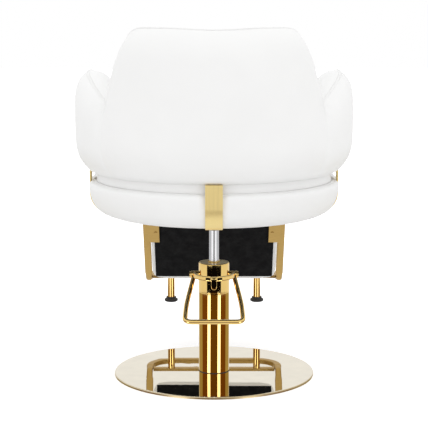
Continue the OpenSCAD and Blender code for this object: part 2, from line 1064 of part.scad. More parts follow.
module foot_cross_bar() {
    color(gold)
        difference() {
            translate([-foot_w / 2 + bar_w, -cross_y - bar_w, cross_z])
                cube([foot_w - 2 * bar_w, bar_w, cross_t]);
            at_studs()
                translate([0, 0, cross_z - 1])
                    cylinder(h = cross_t, d = screw_d + 2 * slip);
        }
}

// Rounded bar shape that starts at the cross bar and closes the loop in front
module foot_front_bar() {
    inner = foot_corner - bar_w;
    color(gold)
        translate([0, 0, foot_z])
            linear_extrude(height = bar_t)
                difference() {
                    loop_shape(foot_w, foot_front_y, foot_corner);
                    loop_shape(foot_w - 2 * bar_w, foot_front_y - bar_w, inner);
                }
}

module loop_shape(w, front, r) {
    start = cross_y + bar_w;
    intersection() {
        translate([-w / 2, -front])
            square([w, front - start]);
        union() {
            translate([-w / 2, -front + r])
                square([w, front - r]);
            translate([-w / 2 + r, -front])
                square([w - 2 * r, r + 1]);
            for (x = [-1, 1])
                translate([x * (w / 2 - r), -front + r])
                    circle(r = r);
        }
    }
}

module at_studs() {
    for (x = [-1, 1])
        translate([x * stud_gap / 2, -stud_y, 0])
            children();
}

module bumper_studs() {
    color(gold)
        at_studs() {
            translate([0, 0, cross_z - stud_len])
                cylinder(h = stud_len, d = stud_d);
            translate([0, 0, cross_z - 1])
                cylinder(h = cross_t - 1, d = screw_d);
        }
}

module bumper_feet() {
    seat_depth = cup_h - cup_depth;
    color("black")
        at_studs()
            translate([0, 0, cross_z - stud_len - seat_depth])
                difference() {
                    rotate_extrude()
                        union() {
                            square([cup_d / 2 - cup_bevel, cup_side_h]);
                            translate([0, cup_lip_z])
                                square([cup_d / 2, cup_lip_h]);
                            square([stud_d / 2 + cup_neck, cup_h]);
                        }
                    translate([0, 0, seat_depth])
                        cylinder(h = cup_h, d = stud_d + slip);
                }
}

// Calf pad: children are placed in its own leaning frame, rear face at y = 0
module calf_frame() {
    translate([0, -calf_y, calf_z])
        rotate([-lean, 0, 0])
            children();
}

module calf_board() {
    side = calf_w / 2 - calf_side_border;
    color("burlywood")
        calf_frame()
            translate([-side, -calf_board_t, calf_border])
                cube([2 * side, calf_board_t, calf_len - 2 * calf_border]);
}

// Padded shell round the board: crowned front face and soft edges
module calf_pad() {
    side = calf_w / 2;
    function slab(in, y, r = 0, wider = 0) =
        let (
            w = side - in + wider,
            low = in,
            high = calf_len - in,
            round_r = r > 0 ? r : min(16 + 0.8 * in, 0.95 * w, 0.95 * (high - low) / 2),
            corner = [[1, 1], [-1, 1], [-1, -1], [1, -1]]
        )
        [
            for (q = [0:3], k = [0:4])
            let (a = 90 * q + 90 * k / 4)
            [
                corner[q][0] * (w - round_r) + round_r * cos(a),
                y,
                (corner[q][1] > 0 ? high - round_r : low + round_r) + round_r * sin(a)
            ]
        ];
    pocket = calf_border - soft_gap;
    wider = calf_border - calf_side_border;
    color(vinyl)
        calf_frame()
            skin([
                slab(pocket, -calf_board_t - soft_gap, 0.5, wider),
                slab(pocket, 0, 0.5, wider),
                slab(2, 0),
                slab(0.5, -2),
                slab(0, -8),
                slab(0, -calf_t * 0.55),
                slab(2, -calf_t * 0.68),
                slab(6, -calf_t * 0.8),
                slab(14, -calf_t * 0.88),
                slab(34, -calf_t * 0.95),
                slab(64, -calf_t * 0.985),
                slab(104, -calf_t)
            ]);
}

module calf_backing() {
    side = calf_w / 2 - calf_side_border;
    color("black")
        calf_frame()
            translate([-side, 0, calf_border])
                cube([2 * side, backing_t, calf_len - 2 * calf_border]);
}

module calf_brackets() {
    leg_x = calf_w / 2 + soft_gap;
    low = calf_len - bracket_len;
    color(gold)
        both_sides()
            calf_frame() {
                translate([foot_w / 2 - bar_w - bracket_w + bracket_lap, backing_t, low])
                    cube([bracket_w, bracket_t, bracket_len - bracket_top_in]);
                translate([leg_x, -leg_offset - bar_t, low])
                    cube([bracket_leg_t, leg_offset + bar_t + backing_t + bracket_t, bracket_leg_len]);
            }
}

module calf_screws() {
    color(gold)
        both_sides()
            calf_frame()
                for (k = [0.2, 0.45, 0.7])
                    translate([foot_w / 2 - bar_w - (bracket_w + bracket_lap) / 2, backing_t + bracket_t,
                               calf_len - bracket_len * k])
                        rotate([-90, 0, 0])
                            cylinder(h = button_h, d = button_d);
}

floor_pad();
base_ballast();
base_cover();
base_bolts();
pump_socket();
column_sleeve();
pump_barrel();
pump_head();
wiper_seal();
gland_ring();
pedal_pins();
piston_rod();
piston_head();
piston_seal();
piston_nut();
thrust_washer();
pedal_yoke();
pedal_loop();
swivel_hub();
mount_plate();
seat_rails();
plate_bolts();
seat_board();
dust_cover();
seat_drum();
seat_plinth();
cushion_board();
seat_cushion();
tub_cover();
tub_core();
tub_lining();
back_strip();
side_strip_left();
side_strip_right();
strip_screws();
footrest_leg_left();
footrest_leg_right();
footrest_bolts();
foot_cross_bar();
foot_front_bar();
calf_board();
calf_pad();
calf_backing();
calf_brackets();
calf_screws();
bumper_studs();
bumper_feet();
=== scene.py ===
"""Hairdressing chair: upholstery, gold finishes and a studio round the fixed frame."""

import json
import math

import bmesh
import bpy
import numpy as np
from bpy.props import FloatProperty, FloatVectorProperty, IntProperty, PointerProperty
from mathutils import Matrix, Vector, noise


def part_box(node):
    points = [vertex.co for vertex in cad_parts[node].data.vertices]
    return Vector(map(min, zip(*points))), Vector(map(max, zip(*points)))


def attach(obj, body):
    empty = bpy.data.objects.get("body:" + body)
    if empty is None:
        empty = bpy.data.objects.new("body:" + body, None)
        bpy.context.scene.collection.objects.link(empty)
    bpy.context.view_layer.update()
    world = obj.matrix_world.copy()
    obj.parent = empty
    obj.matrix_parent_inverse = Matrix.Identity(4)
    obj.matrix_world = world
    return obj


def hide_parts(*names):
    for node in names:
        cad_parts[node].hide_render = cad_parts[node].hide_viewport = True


bl_info = {
    "name": "Hairdressing Chair",
    "version": (1, 0, 0),
    "blender": (4, 5, 0),
    "location": "View3D > Sidebar > Chair",
    "description": "Upholstery, gold finishes and a studio for a tub chair on a pump column",
    "category": "Object",
}

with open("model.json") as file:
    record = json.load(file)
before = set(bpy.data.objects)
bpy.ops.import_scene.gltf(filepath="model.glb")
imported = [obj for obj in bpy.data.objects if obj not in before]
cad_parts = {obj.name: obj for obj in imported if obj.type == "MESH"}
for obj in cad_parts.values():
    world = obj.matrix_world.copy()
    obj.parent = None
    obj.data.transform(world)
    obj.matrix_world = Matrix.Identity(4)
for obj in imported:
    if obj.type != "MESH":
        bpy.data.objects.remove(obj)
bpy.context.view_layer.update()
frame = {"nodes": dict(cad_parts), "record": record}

# Places read from the frame, in metres: the seat's plan and the tub's outer face
DRUM_LOW, DRUM_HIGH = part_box("seat_drum")
TUB_LOW, TUB_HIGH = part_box("tub_cover")
CUSHION_LOW, CUSHION_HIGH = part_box("seat_cushion")
PLINTH_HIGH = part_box("seat_plinth")[1]
BOARD_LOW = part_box("cushion_board")[0]
REAR_R = DRUM_HIGH.x
PLAN_Y = DRUM_HIGH.y - REAR_R
PLAN_FRONT = PLAN_Y - DRUM_LOW.y
PLINTH_IN = REAR_R - PLINTH_HIGH.x
TUB_R = TUB_HIGH.x
TUB_Y = TUB_HIGH.y - TUB_R
TUB_Z = PLINTH_HIGH.z
BACK_TOP = TUB_HIGH.z
ARM_REACH = TUB_Y - TUB_LOW.y
STRIP_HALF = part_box("back_strip")[1].x

# Power of the curve that squares off the front of the seat's plan
PLAN_POWER = 4.5

# Shape of the tub's wall, the same as its solids have
WALL_T = 0.080
COVER_LAYER = 0.028
CORE_INNER = 0.038
CORE_DROP = 0.010
FOOT_IN = 0.040
NOTCH_Z = 0.696
ARM_Z = 0.763
ARM_FALL = 0.022
ARM_NOSE = 0.090
ARM_END = 0.044
SHOULDER_ANGLE = 28.0
SHOULDER_FALL = 2.0
NOTCH_ANGLE = 53.0
SEAM_ANGLE = 50.8

# Lining's swell behind the person's back, and how many times faster than the wall's angle it fades
LUMBAR = 0.016
LUMBAR_FADE = 1.7

# Crest behind: how far it lies under the solids' top, how far it dips more in the middle, and how far it
# rises again over so many degrees to each side
CREST_DROP = 0.002
SADDLE_DIP = 0.0016
SADDLE_RISE = 0.0042
SADDLE_ANGLE = 22

# Drum: radius of its rounded lower edge, the pocket for the seat's board under it, how far its upper lip
# is drawn in, and how far the padded band stands out of the plinth
DRUM_ROUND = 0.052
POCKET_IN = DRUM_ROUND - 0.0083
POCKET_RISE = 0.0163
LIP_IN = 0.0085
BAND_OUT = 0.0098

# Relief of the covers: how far from a seam the foam is full, half the width of a sewn groove, and height
# and length of the gathers at a welt, of the broad waves and of the folds that fan out from a notch
PUFF_REACH = 0.022
GROOVE_HALF = 0.0022
GATHER_H = 0.00042
GATHER_L = 0.012
WAVE_H = 0.0011
WAVE_L = 0.11
FOLD_H = 0.0007
FOLD_L = 0.05
FOLD_COUNT = 9

# Drum's cover beside a gold strip: its dent, and how far it takes to swell out again; its broad waves and
# its pleats, height and length; belly and waves of the band above it
DENT_H = 0.0016
DENT_AT = 0.003
DENT_HALF = 0.006
SWELL_REACH = 0.018
DRUM_WAVE_H = 0.0009
DRUM_WAVE_L = 0.09
PLEAT_H = 0.0006
PLEAT_L = 0.010
BAND_BELLY = 0.0016
BAND_WAVE_H = 0.0006
BAND_WAVE_L = 0.03

# Cushion's upper seam: how far it lies inside the plan
SEAM_IN = 0.002

# Distance between the sections of a closed welt, and of the tub's stitches from their seam
WELT_PITCH = 0.0045
STITCH_BESIDE = 0.0065

# Calf pad: its lean from upright and the radius of its corners
CALF_LEAN = math.radians(38)
PAD_CORNER = 0.022

# Footrest's side bars: their thickness, where they bend forward, and how far round the bend they are
# softened, less and less over the last stretch
BAR_T = 0.014
LEG_BEND_Y = -0.502
BEND_REACH = 0.034
BEND_FADE = 0.014

# Pedal rod: its upper end under the pivot, its lower bar and the kink in each side
PEDAL_TOP = (0.051, 0.008, -0.0055)
PEDAL_LOW = (0.071, 0.165, -0.084)
KINK_IN = 0.0045
KINK_AT = 0.6
ROD_R = 0.006
ROD_CORNER = 0.018

# Thin black rubber ring round the column's foot: a painted contact shadow, the dark line where the column
# meets the base
FOOT_SHADOW_R = 0.0009
FOOT_SHADOW_RISE = 0.0006

# Pieces that the polished metal doesn't mirror, as in the photo
UNMIRRORED = (
    "base_cover", "base_ballast", "base_bolts", "floor_pad", "pump_socket", "pedal_yoke", "bumper_feet",
)

# Camera behind the chair: its place, how many degrees it looks down, and its focal length in mm
CAMERA_PLACE = (0, 3.6, 0.961)
CAMERA_DOWN = 8.77
CAMERA_LENS = 123.2
FLOOR_HALF = 14.0

# Reflection cards on one cylinder: their heights, by what the column, the pump's head, the piston and the
# base mirror from behind, and their light
CARD_R = 4.5
CARD_FLOOR = -3.0
HEAD_LOW = -0.7285
HEAD_HIGH = -0.5618
PISTON_HIGH = -0.30
CARD_BOUNCED = 0.9
CARD_TOP = 3.2
UMBER = (0.16, 0.072, 0.010)
BROWN = (0.20, 0.075, 0.010)
STRAW = (0.46, 0.38, 0.18)
WHITE = (3.2, 3.2, 3.3)
BLACK = (0.004, 0.003, 0.003)
DARK_GREY = (0.09, 0.09, 0.09)
GREY = (0.50, 0.50, 0.51)

# Cards on each side of the dark one: name, from and to in degrees from the back, and light
SIDE_CARDS = (("bright", 28, 49.5, WHITE), ("brown", 50.5, 98, BROWN), ("straw", 98, 152, STRAW))


class ChairSizes(bpy.types.PropertyGroup):
    """Sizes of the upholstery's details that a user can change"""

    welt_d: FloatProperty(name="Welt", description="Diameter of the piping cord along the seams",
                          default=0.0028, unit="LENGTH")
    groove: FloatProperty(name="Seam depth", description="Depth of a sewn seam in the cover",
                          default=0.00025, unit="LENGTH")
    puff: FloatProperty(name="Puff", description="How far the foam lifts the cover between its seams",
                        default=0.0022, unit="LENGTH")
    bulge: FloatProperty(name="Drum bulge", description="How far the drum swells beside the gold strips",
                         default=0.0062, unit="LENGTH")
    stitch: FloatProperty(name="Stitch pitch", description="Distance from one stitch to the next",
                          default=0.0048, unit="LENGTH")
    rows: IntProperty(name="Rows", description="Mesh rows over the height of the tub's wall", default=52)
    pressure: FloatProperty(name="Foam pressure", description="Pressure that swells the sewn cushions",
                            default=4.0)


class ChairColours(bpy.types.PropertyGroup):
    """Colours of the finishes, as linear values"""

    vinyl: FloatVectorProperty(name="Vinyl", description="White faux leather", subtype="COLOR",
                               default=(0.895, 0.895, 0.89))
    polished: FloatVectorProperty(name="Polished gold", description="Column, head and pedal",
                                  subtype="COLOR", default=(0.80, 0.56, 0.20))
    mirror: FloatVectorProperty(name="Mirror gold", description="Round base cover",
                                subtype="COLOR", default=(0.765, 0.705, 0.575))
    brushed: FloatVectorProperty(name="Brushed gold", description="Strips on the drum",
                                 subtype="COLOR", default=(0.92, 0.73, 0.32))
    satin: FloatVectorProperty(name="Satin gold", description="Footrest and its studs",
                               subtype="COLOR", default=(0.50, 0.33, 0.11))


def sizes():
    """The size settings of this scene"""
    return bpy.context.scene.chair_sizes


def colours():
    """The colour settings of this scene"""
    return bpy.context.scene.chair_colours


# Curves and meshes

def spline(points, count):
    """Smooth curve through points (..., P, D), flat along long chords: count points, evenly spaced"""
    points = np.asarray(points, float)
    step = np.diff(points, axis=-2)
    gap = np.maximum(np.linalg.norm(step, axis=-1), 1e-9)[..., None]
    slope = step / gap
    middle = (step[..., :-1, :] + step[..., 1:, :]) / (gap[..., 1:, :] + gap[..., :-1, :])
    tangent = np.concatenate([slope[..., :1, :], middle, slope[..., -1:, :]], axis=-2)
    along = np.concatenate([np.zeros_like(gap[..., :1, 0]), np.cumsum(gap[..., 0], axis=-1)], axis=-1)
    want = along[..., -1:] * np.linspace(0, 1, count)
    cell = (want[..., :, None] >= along[..., None, 1:-1]).sum(-1)

    def at(values, shift):
        return np.take_along_axis(values, (cell + shift)[..., None], axis=-2)

    size = at(gap, 0)
    t = (want[..., None] - at(along[..., None], 0)) / size
    a, b = at(points, 0), at(points, 1)
    u, v = at(tangent, 0) * size, at(tangent, 1) * size
    return (a * (2 * t ** 3 - 3 * t ** 2 + 1) + u * (t ** 3 - 2 * t ** 2 + t)
            + b * (3 * t ** 2 - 2 * t ** 3) + v * (t ** 3 - t ** 2))


def even(path, pitch, closed=False):
    """The same line as points about pitch apart"""
    path = np.asarray(path, float)
    if closed:
        path = np.vstack([path, path[:1]])
    along = np.concatenate([[0], np.cumsum(np.linalg.norm(np.diff(path, axis=0), axis=1))])
    count = max(2, int(round(along[-1] / pitch)))
    want = np.linspace(0, along[-1], count + 1)
    if closed:
        want = want[:-1]
    return np.stack([np.interp(want, along, path[:, k]) for k in range(path.shape[1])], axis=1)


def unit(v):
    """Rows of v scaled to length one"""
    return v / np.maximum(np.linalg.norm(v, axis=-1, keepdims=True), 1e-12)


def grid_faces(rows, count, closed):
    """Quads over a grid of rows by count points"""
    index = np.arange(rows * count).reshape(rows, count).tolist()
    ends = [(i, (i + 1) % count) for i in range(count if closed else count - 1)]
    return [(low[i], low[k], high[k], high[i]) for low, high in zip(index, index[1:]) for i, k in ends]


def grid_normals(points, closed, row, column, facing):
    """Unit normals of a grid of points; the one at row and column looks along Y in the sense of facing"""
    if closed:
        across = np.roll(points, -1, axis=1) - np.roll(points, 1, axis=1)
    else:
        across = np.gradient(points, axis=1)
    normals = unit(np.cross(across, np.gradient(points, axis=0)))
    return normals if normals[row, column, 1] * facing >= 0 else -normals


def make_object(name, verts, faces):
    """Smooth mesh object with its faces turned outward"""
    mesh = bpy.data.meshes.new(name)
    mesh.from_pydata([tuple(map(float, v)) for v in verts], [], faces)
    bm = bmesh.new()
    bm.from_mesh(mesh)
    bmesh.ops.recalc_face_normals(bm, faces=bm.faces)
    bm.to_mesh(mesh)
    bm.free()
    mesh.polygons.foreach_set("use_smooth", [True] * len(mesh.polygons))
    obj = bpy.data.objects.new(name, mesh)
    bpy.context.scene.collection.objects.link(obj)
    return obj


def loft(name, rings, closed=True, caps=True):
    """Skin over a stack of rings of points"""
    rings = np.asarray(rings, float)
    rows, count = rings.shape[:2]
    faces = grid_faces(rows, count, closed)
    if caps:
        faces.append(tuple(range(count))[::-1])
        faces.append(tuple(range((rows - 1) * count, rows * count)))
    return make_object(name, rings.reshape(-1, 3), faces)


def tube(name, path, radius, sides=12, closed=False):
    """Round cord along a path, its ends rounded where it is open"""
    path = np.asarray(path, float)
    if closed:
        tangent = unit(np.roll(path, -1, axis=0) - np.roll(path, 1, axis=0))
    else:
        tangent = unit(np.gradient(path, axis=0))
    radii = np.full(len(path), radius)
    if not closed:
        cap = np.array([0.05, 0.5, 0.85])
        push = radius * np.array([1.0, 0.87, 0.5])
        before, after = path[0] - tangent[0] * push[:, None], path[-1] + tangent[-1] * push[::-1, None]
        path = np.vstack([before, path, after])
        tangent = np.vstack([np.repeat(tangent[:1], 3, 0), tangent, np.repeat(tangent[-1:], 3, 0)])
        radii = np.concatenate([radius * cap, radii, radius * cap[::-1]])
    side = np.zeros_like(path)
    first = np.cross(tangent[0], [0.0, 0.0, 1.0])
    if np.linalg.norm(first) < 0.1:
        first = np.cross(tangent[0], [1.0, 0.0, 0.0])
    side[0] = unit(first)
    for i in range(1, len(path)):
        flat = side[i - 1] - tangent[i] * (side[i - 1] @ tangent[i])
        side[i] = unit(flat)
    up = np.cross(tangent, side)
    turn = np.linspace(0, 2 * math.pi, sides, endpoint=False)
    rings = (path[:, None] + radii[:, None, None]
             * (np.cos(turn)[None, :, None] * side[:, None] + np.sin(turn)[None, :, None] * up[:, None]))
    if closed:
        rings = np.concatenate([rings, rings[:1]])
        obj = loft(name, rings, caps=False)
        bm = bmesh.new()
        bm.from_mesh(obj.data)
        bmesh.ops.remove_doubles(bm, verts=bm.verts, dist=radius * 0.3)
        bm.to_mesh(obj.data)
        bm.free()
        return obj
    return loft(name, rings)


def stitches(name, rows, thickness=0.00055, share=0.68):
    """Sewn thread: short rounded stitches that lie along each (path, outward normals) row"""
    turn = np.linspace(0, 2 * math.pi, 6, endpoint=False)
    stations = [
        (-0.5, 0.35, -0.6), (-0.36, 1.0, 0.25), (0.0, 1.1, 0.6), (0.36, 1.0, 0.25), (0.5, 0.35, -0.6),
    ]
    verts, faces = [], []
    for path, normals in rows:
        both = even(np.hstack([path, normals]), sizes().stitch)
        spots = (both[1:, :3] + both[:-1, :3]) / 2
        run = both[1:, :3] - both[:-1, :3]
        up = unit(both[1:, 3:] + both[:-1, 3:])
        side = unit(np.cross(run, up))
        for p, along, u, s in zip(spots, run, up, side):
            start = len(verts)
            for reach, wide, lift in stations:
                centre = p + along * reach * share + u * lift * thickness
                for w in turn:
                    verts.append(centre + thickness * wide * (math.cos(w) * s + math.sin(w) * u))
            n = len(turn)
            faces += [tuple(start + k for k in face) for face in grid_faces(len(stations), n, True)]
            faces.append(tuple(range(start, start + n))[::-1])
            faces.append(tuple(range(start + n * (len(stations) - 1), start + n * len(stations))))
    return make_object(name, verts, faces)


def add_modifier(obj, name, kind, **settings):
    """One modifier with its settings"""
    made = obj.modifiers.new(name, kind)
    for key, value in settings.items():
        setattr(made, key, value)
    return made


def finish_piece(obj, body, slot, replaces=(), finish=None):
    """Gives a piece its slot's finish, or another that is named, its body and the nodes it stands for"""
    obj.data.materials.clear()
    obj.data.materials.append(MATERIALS[finish or slot])
    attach(obj, body)
    if replaces:
        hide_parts(*replaces)


def ripple(points, scale, seed):
    """Smooth noise from -1 to 1 at each point, its waves about scale metres long"""
    flat = points.reshape(-1, 3) / scale + seed
    return np.array([noise.noise(Vector(p)) for p in flat]).reshape(points.shape[:-1])


# Materials

def new_material(name):
    """A node material, its tree and its shader"""
    material = bpy.data.materials.new(name)
    material.use_nodes = True
    tree = material.node_tree
    return material, tree, tree.nodes["Principled BSDF"]


def fill_inputs(tree, node, values):
    """Sets a node's inputs, by name or number: another node's output is linked, a value is written"""
    for key, value in values.items():
        if isinstance(value, bpy.types.NodeSocket):
            tree.links.new(value, node.inputs[key])
        else:
            node.inputs[key].default_value = value


def add_node(tree, kind, values=None, **settings):
    """One node with its settings and its inputs"""
    made = tree.nodes.new(kind)
    for key, value in settings.items():
        setattr(made, key, value)
    fill_inputs(tree, made, values or {})
    return made


def place_coordinates(tree, scale=(1, 1, 1)):
    """Object coordinates in metres, stretched by scale"""
    place = add_node(tree, "ShaderNodeTexCoord").outputs["Object"]
    return add_node(tree, "ShaderNodeMapping", {"Vector": place, "Scale": scale}).outputs["Vector"]


def noise_field(tree, vector, scale, detail=4.0, roughness=0.55):
    """Noise over the piece, as a factor"""
    values = {"Vector": vector, "Scale": scale, "Detail": detail, "Roughness": roughness}
    return add_node(tree, "ShaderNodeTexNoise", values).outputs["Fac"]


def colour_between(tree, factor, low, high, from_value=0.3, to_value=0.7):
    """Colour ramp from low to high over a stretch of the factor"""
    ramp = add_node(tree, "ShaderNodeValToRGB", {"Fac": factor})
    for end, place, colour in zip(ramp.color_ramp.elements, (from_value, to_value), (low, high)):
        end.position = place
        end.color = (*colour, 1)
    return ramp.outputs["Color"]


def value_between(tree, factor, low, high):
    """Number that runs from low to high with the factor"""
    values = {"Value": factor, "To Min": low, "To Max": high}
    return add_node(tree, "ShaderNodeMapRange", values).outputs["Result"]


def bump(tree, height, strength, distance, below=None):
    """Bump normal, stacked on another where one is given"""
    values = {"Height": height, "Strength": strength, "Distance": distance}
    if below is not None:
        values["Normal"] = below
    return add_node(tree, "ShaderNodeBump", values).outputs["Normal"]


def blend(tree, first, second, share=1.0, kind="MULTIPLY"):
    """The first colour with the second laid over it"""
    values = {0: share, 6: first, 7: second}
    return add_node(tree, "ShaderNodeMix", values, data_type="RGBA", blend_type=kind).outputs[2]


def shade(colour, k):
    """The colour made k times as bright"""
    return tuple(min(1.0, c * k) for c in colour)


def vinyl_material():
    """White faux leather: fine pebble grain, faint creasing, and painted shade that greys it in its folds
    """
    material, tree, shader = new_material("white_vinyl")
    base = tuple(colours().vinyl)
    vector = place_coordinates(tree)
    pebble = add_node(tree, "ShaderNodeTexVoronoi", {"Vector": vector, "Scale": 850.0, "Randomness": 0.9},
                      feature="DISTANCE_TO_EDGE")
    crease = noise_field(tree, vector, 55.0, 5.0, 0.6)
    broad = noise_field(tree, vector, 7.0, 2.0)
    tint = colour_between(tree, broad, shade(base, 0.985), shade(base, 1.01))
    # Painted shade: the colour greys where ambient occlusion finds the surface hemmed in, in creases,
    # seams and gaps
    occlusion = add_node(tree, "ShaderNodeAmbientOcclusion", {"Distance": 0.012}, samples=6)
    painted_crease_shade = colour_between(tree, occlusion.outputs["AO"], (0.80, 0.79, 0.76), (1, 1, 1), 0.2, 0.85)
    soft = bump(tree, crease, 0.10, 0.0010)
    fill_inputs(tree, shader, {
        "Base Color": blend(tree, tint, painted_crease_shade, 0.3),
        "Roughness": value_between(tree, crease, 0.40, 0.52),
        "Normal": bump(tree, pebble.outputs["Distance"], 0.22, 0.00012, soft),
        "Specular IOR Level": 0.42,
        "Sheen Weight": 0.06,
        "Sheen Roughness": 0.5,
    })
    return material


def facing_up(tree, low, high):
    """Factor that runs from 0 to 1 as a face turns from the slope low to the slope high"""
    facing = add_node(tree, "ShaderNodeTexCoord").outputs["Normal"]
    slope = add_node(tree, "ShaderNodeSeparateXYZ", {0: facing}).outputs["Z"]
    values = {"Value": slope, "From Min": low, "From Max": high}
    return add_node(tree, "ShaderNodeMapRange", values).outputs["Result"]


def polished_metal(name, base, roughness, wear, dust, satin=None):
    """Polished plate with fine wipe marks; satin gives the faces of one slope another roughness and
    metallic, and another colour painted on by slope as painted light or shade
    """
    material, tree, shader = new_material(name)
    wipes = noise_field(tree, place_coordinates(tree, (1, 1, 0.15)), 320.0, 6.0, 0.7)
    slow = noise_field(tree, place_coordinates(tree), 22.0, 2.0)
    tone = colour_between(tree, slow, shade(base, 0.97), shade(base, 1.03))
    shine = value_between(tree, wipes, roughness, roughness + wear)
    metallic = 1.0
    if satin:
        # Painted light: faces of the given slope take another colour (a painted highlight or painted
        # shade, as the caller sets it), with their own roughness and metallic
        colour, rough, metal, slope = satin
        mask = facing_up(tree, *slope)
        tone = blend(tree, tone, (*colour, 1), mask, "MIX")
        values = {0: mask, 2: shine, 3: rough}
        shine = add_node(tree, "ShaderNodeMix", values, data_type="FLOAT").outputs[0]
        metallic = value_between(tree, mask, 1.0, metal)
    fill_inputs(tree, shader, {
        "Base Color": tone,
        "Roughness": shine,
        "Metallic": metallic,
        "Normal": bump(tree, slow, 0.05, dust),
    })
    return material


def brushed_metal(name, base, grain, roughness, metallic=1.0):
    """Brushed plate: long fine lines along one direction, set by how grain stretches the noise"""
    material, tree, shader = new_material(name)
    lines = noise_field(tree, place_coordinates(tree, grain), 1.0, 7.0, 0.75)
    cloud = noise_field(tree, place_coordinates(tree), 16.0, 3.0)
    tone = colour_between(tree, lines, shade(base, 0.90), shade(base, 1.06))
    fill_inputs(tree, shader, {
        "Base Color": blend(tree, tone, colour_between(tree, cloud, (0.96, 0.96, 0.96), (1, 1, 1))),
        "Roughness": value_between(tree, lines, roughness - 0.06, roughness + 0.08),
        "Metallic": metallic,
        "Normal": bump(tree, lines, 0.10, 0.0002),
    })
    return material


def dull_material(name, tone, low, high, skin, relief, roughness):
    """Dull surface: tone mottles its colour and skin its relief, each the scale and detail of a noise"""
    material, tree, shader = new_material(name)
    vector = place_coordinates(tree)
    fill_inputs(tree, shader, {
        "Base Color": colour_between(tree, noise_field(tree, vector, *tone), low, high),
        "Roughness": roughness,
        "Normal": bump(tree, noise_field(tree, vector, *skin), *relief),
    })
    return material


def plated_material(name, base, roughness):
    """Zinc or bronze: dull metal with mottled plating"""
    material, tree, shader = new_material(name)
    mottle = noise_field(tree, place_coordinates(tree), 260.0, 5.0)
    fill_inputs(tree, shader, {
        "Base Color": colour_between(tree, mottle, shade(base, 0.82), shade(base, 1.1)),
        "Roughness": value_between(tree, mottle, roughness - 0.05, roughness + 0.1),
        "Metallic": 1.0,
    })
    return material


def felt_material():
    """Black nonwoven sheet: tangled fibres and rows of small bond points"""
    material, tree, shader = new_material("black_felt")
    vector = place_coordinates(tree)
    fibres = noise_field(tree, place_coordinates(tree, (1, 1, 0.3)), 700.0, 8.0, 0.75)
    bonds = add_node(tree, "ShaderNodeTexVoronoi", {"Vector": vector, "Scale": 420.0, "Randomness": 0.12})
    thread = colour_between(tree, fibres, (0.003, 0.003, 0.0035), (0.011, 0.011, 0.012), 0.35, 0.68)
    cloud = colour_between(tree, noise_field(tree, vector, 38.0, 5.0, 0.7), (0, 0, 0),
                           (0.009, 0.009, 0.009), 0.4, 0.65)
    rough = bump(tree, fibres, 0.5, 0.0004)
    fill_inputs(tree, shader, {
        "Base Color": blend(tree, thread, cloud, kind="ADD"),
        "Roughness": 0.95,
        "Normal": bump(tree, bonds.outputs["Distance"], 0.35, 0.0003, rough),
        "Specular IOR Level": 0.08,
        "Sheen Weight": 0.03,
    })
    return material


def plywood_material():
    """Birch plywood: grain along X and thin glue lines through the thickness"""
    material, tree, shader = new_material("plywood")
    grain = noise_field(tree, place_coordinates(tree, (6, 90, 90)), 1.0, 6.0, 0.65)
    wood = colour_between(tree, grain, (0.42, 0.27, 0.14), (0.60, 0.43, 0.25))
    plies = add_node(tree, "ShaderNodeTexWave",
                     {"Vector": place_coordinates(tree), "Scale": 120.0, "Distortion": 0.4},
                     wave_type="BANDS", bands_direction="Z")
    glue = colour_between(tree, plies.outputs["Fac"], (0.55, 0.45, 0.35), (1, 1, 1), 0.1, 0.4)
    fill_inputs(tree, shader, {
        "Base Color": blend(tree, wood, glue, 0.45),
        "Roughness": 0.6,
        "Normal": bump(tree, grain, 0.2, 0.0004),
    })
    return material


MATERIALS = {}


def make_materials():
    """Every finish of the chair, by the name of its slot"""
    c = colours()
    # Faces of one slope with another finish: colour, roughness, metallic and the slopes where it runs in.
    # The colours are painted light: the base's sloping rim is painted darker, as painted shade, and the
    # polished gold's level faces paler, as a painted highlight; each is rougher as well
    rim_painted_dark = ((0.56, 0.44, 0.25), 0.30, 1.0, (0.90, 0.55))
    top_painted_light = ((1.0, 0.86, 0.54), 0.25, 0.25, (0.85, 0.97))
    MATERIALS.update({
        "white_vinyl": vinyl_material(),
        "mirror_gold": polished_metal("mirror_gold", tuple(c.mirror), 0.008, 0.010, 0.00003, rim_painted_dark),
        "polished_gold": polished_metal("polished_gold", tuple(c.polished), 0.012, 0.02, 0.00005, top_painted_light),
        "brushed_gold": brushed_metal("brushed_gold", tuple(c.brushed), (900, 900, 9), 0.40, 0.6),
        "satin_gold": brushed_metal("satin_gold", tuple(c.satin), (60, 500, 60), 0.34),
        "chrome_rod": polished_metal("chrome_rod", (0.90, 0.90, 0.91), 0.03, 0.03, 0.00005),
        "dark_steel": dull_material("black_steel", (40.0, 4.0), (0.018, 0.018, 0.019),
                                    (0.032, 0.032, 0.034), (420.0, 3.0), (0.15, 0.0003), 0.36),
        "zinc": plated_material("zinc_plate", (0.62, 0.63, 0.66), 0.35),
        "bronze": plated_material("plain_bronze", (0.42, 0.24, 0.10), 0.4),
        "black_rubber": dull_material("black_rubber", (60.0, 4.0), (0.010, 0.010, 0.010),
                                      (0.022, 0.022, 0.021), (900.0, 2.0), (0.2, 0.0002), 0.62),
        "black_felt": felt_material(),
        "plywood": plywood_material(),
        "thread": dull_material("sewing_thread", (1500.0, 2.0), (0.76, 0.76, 0.75), (0.88, 0.88, 0.87),
                                (1500.0, 2.0), (0.4, 0.0002), 0.7),
    })


# Seat plan and tub wall, the curves that the solids follow

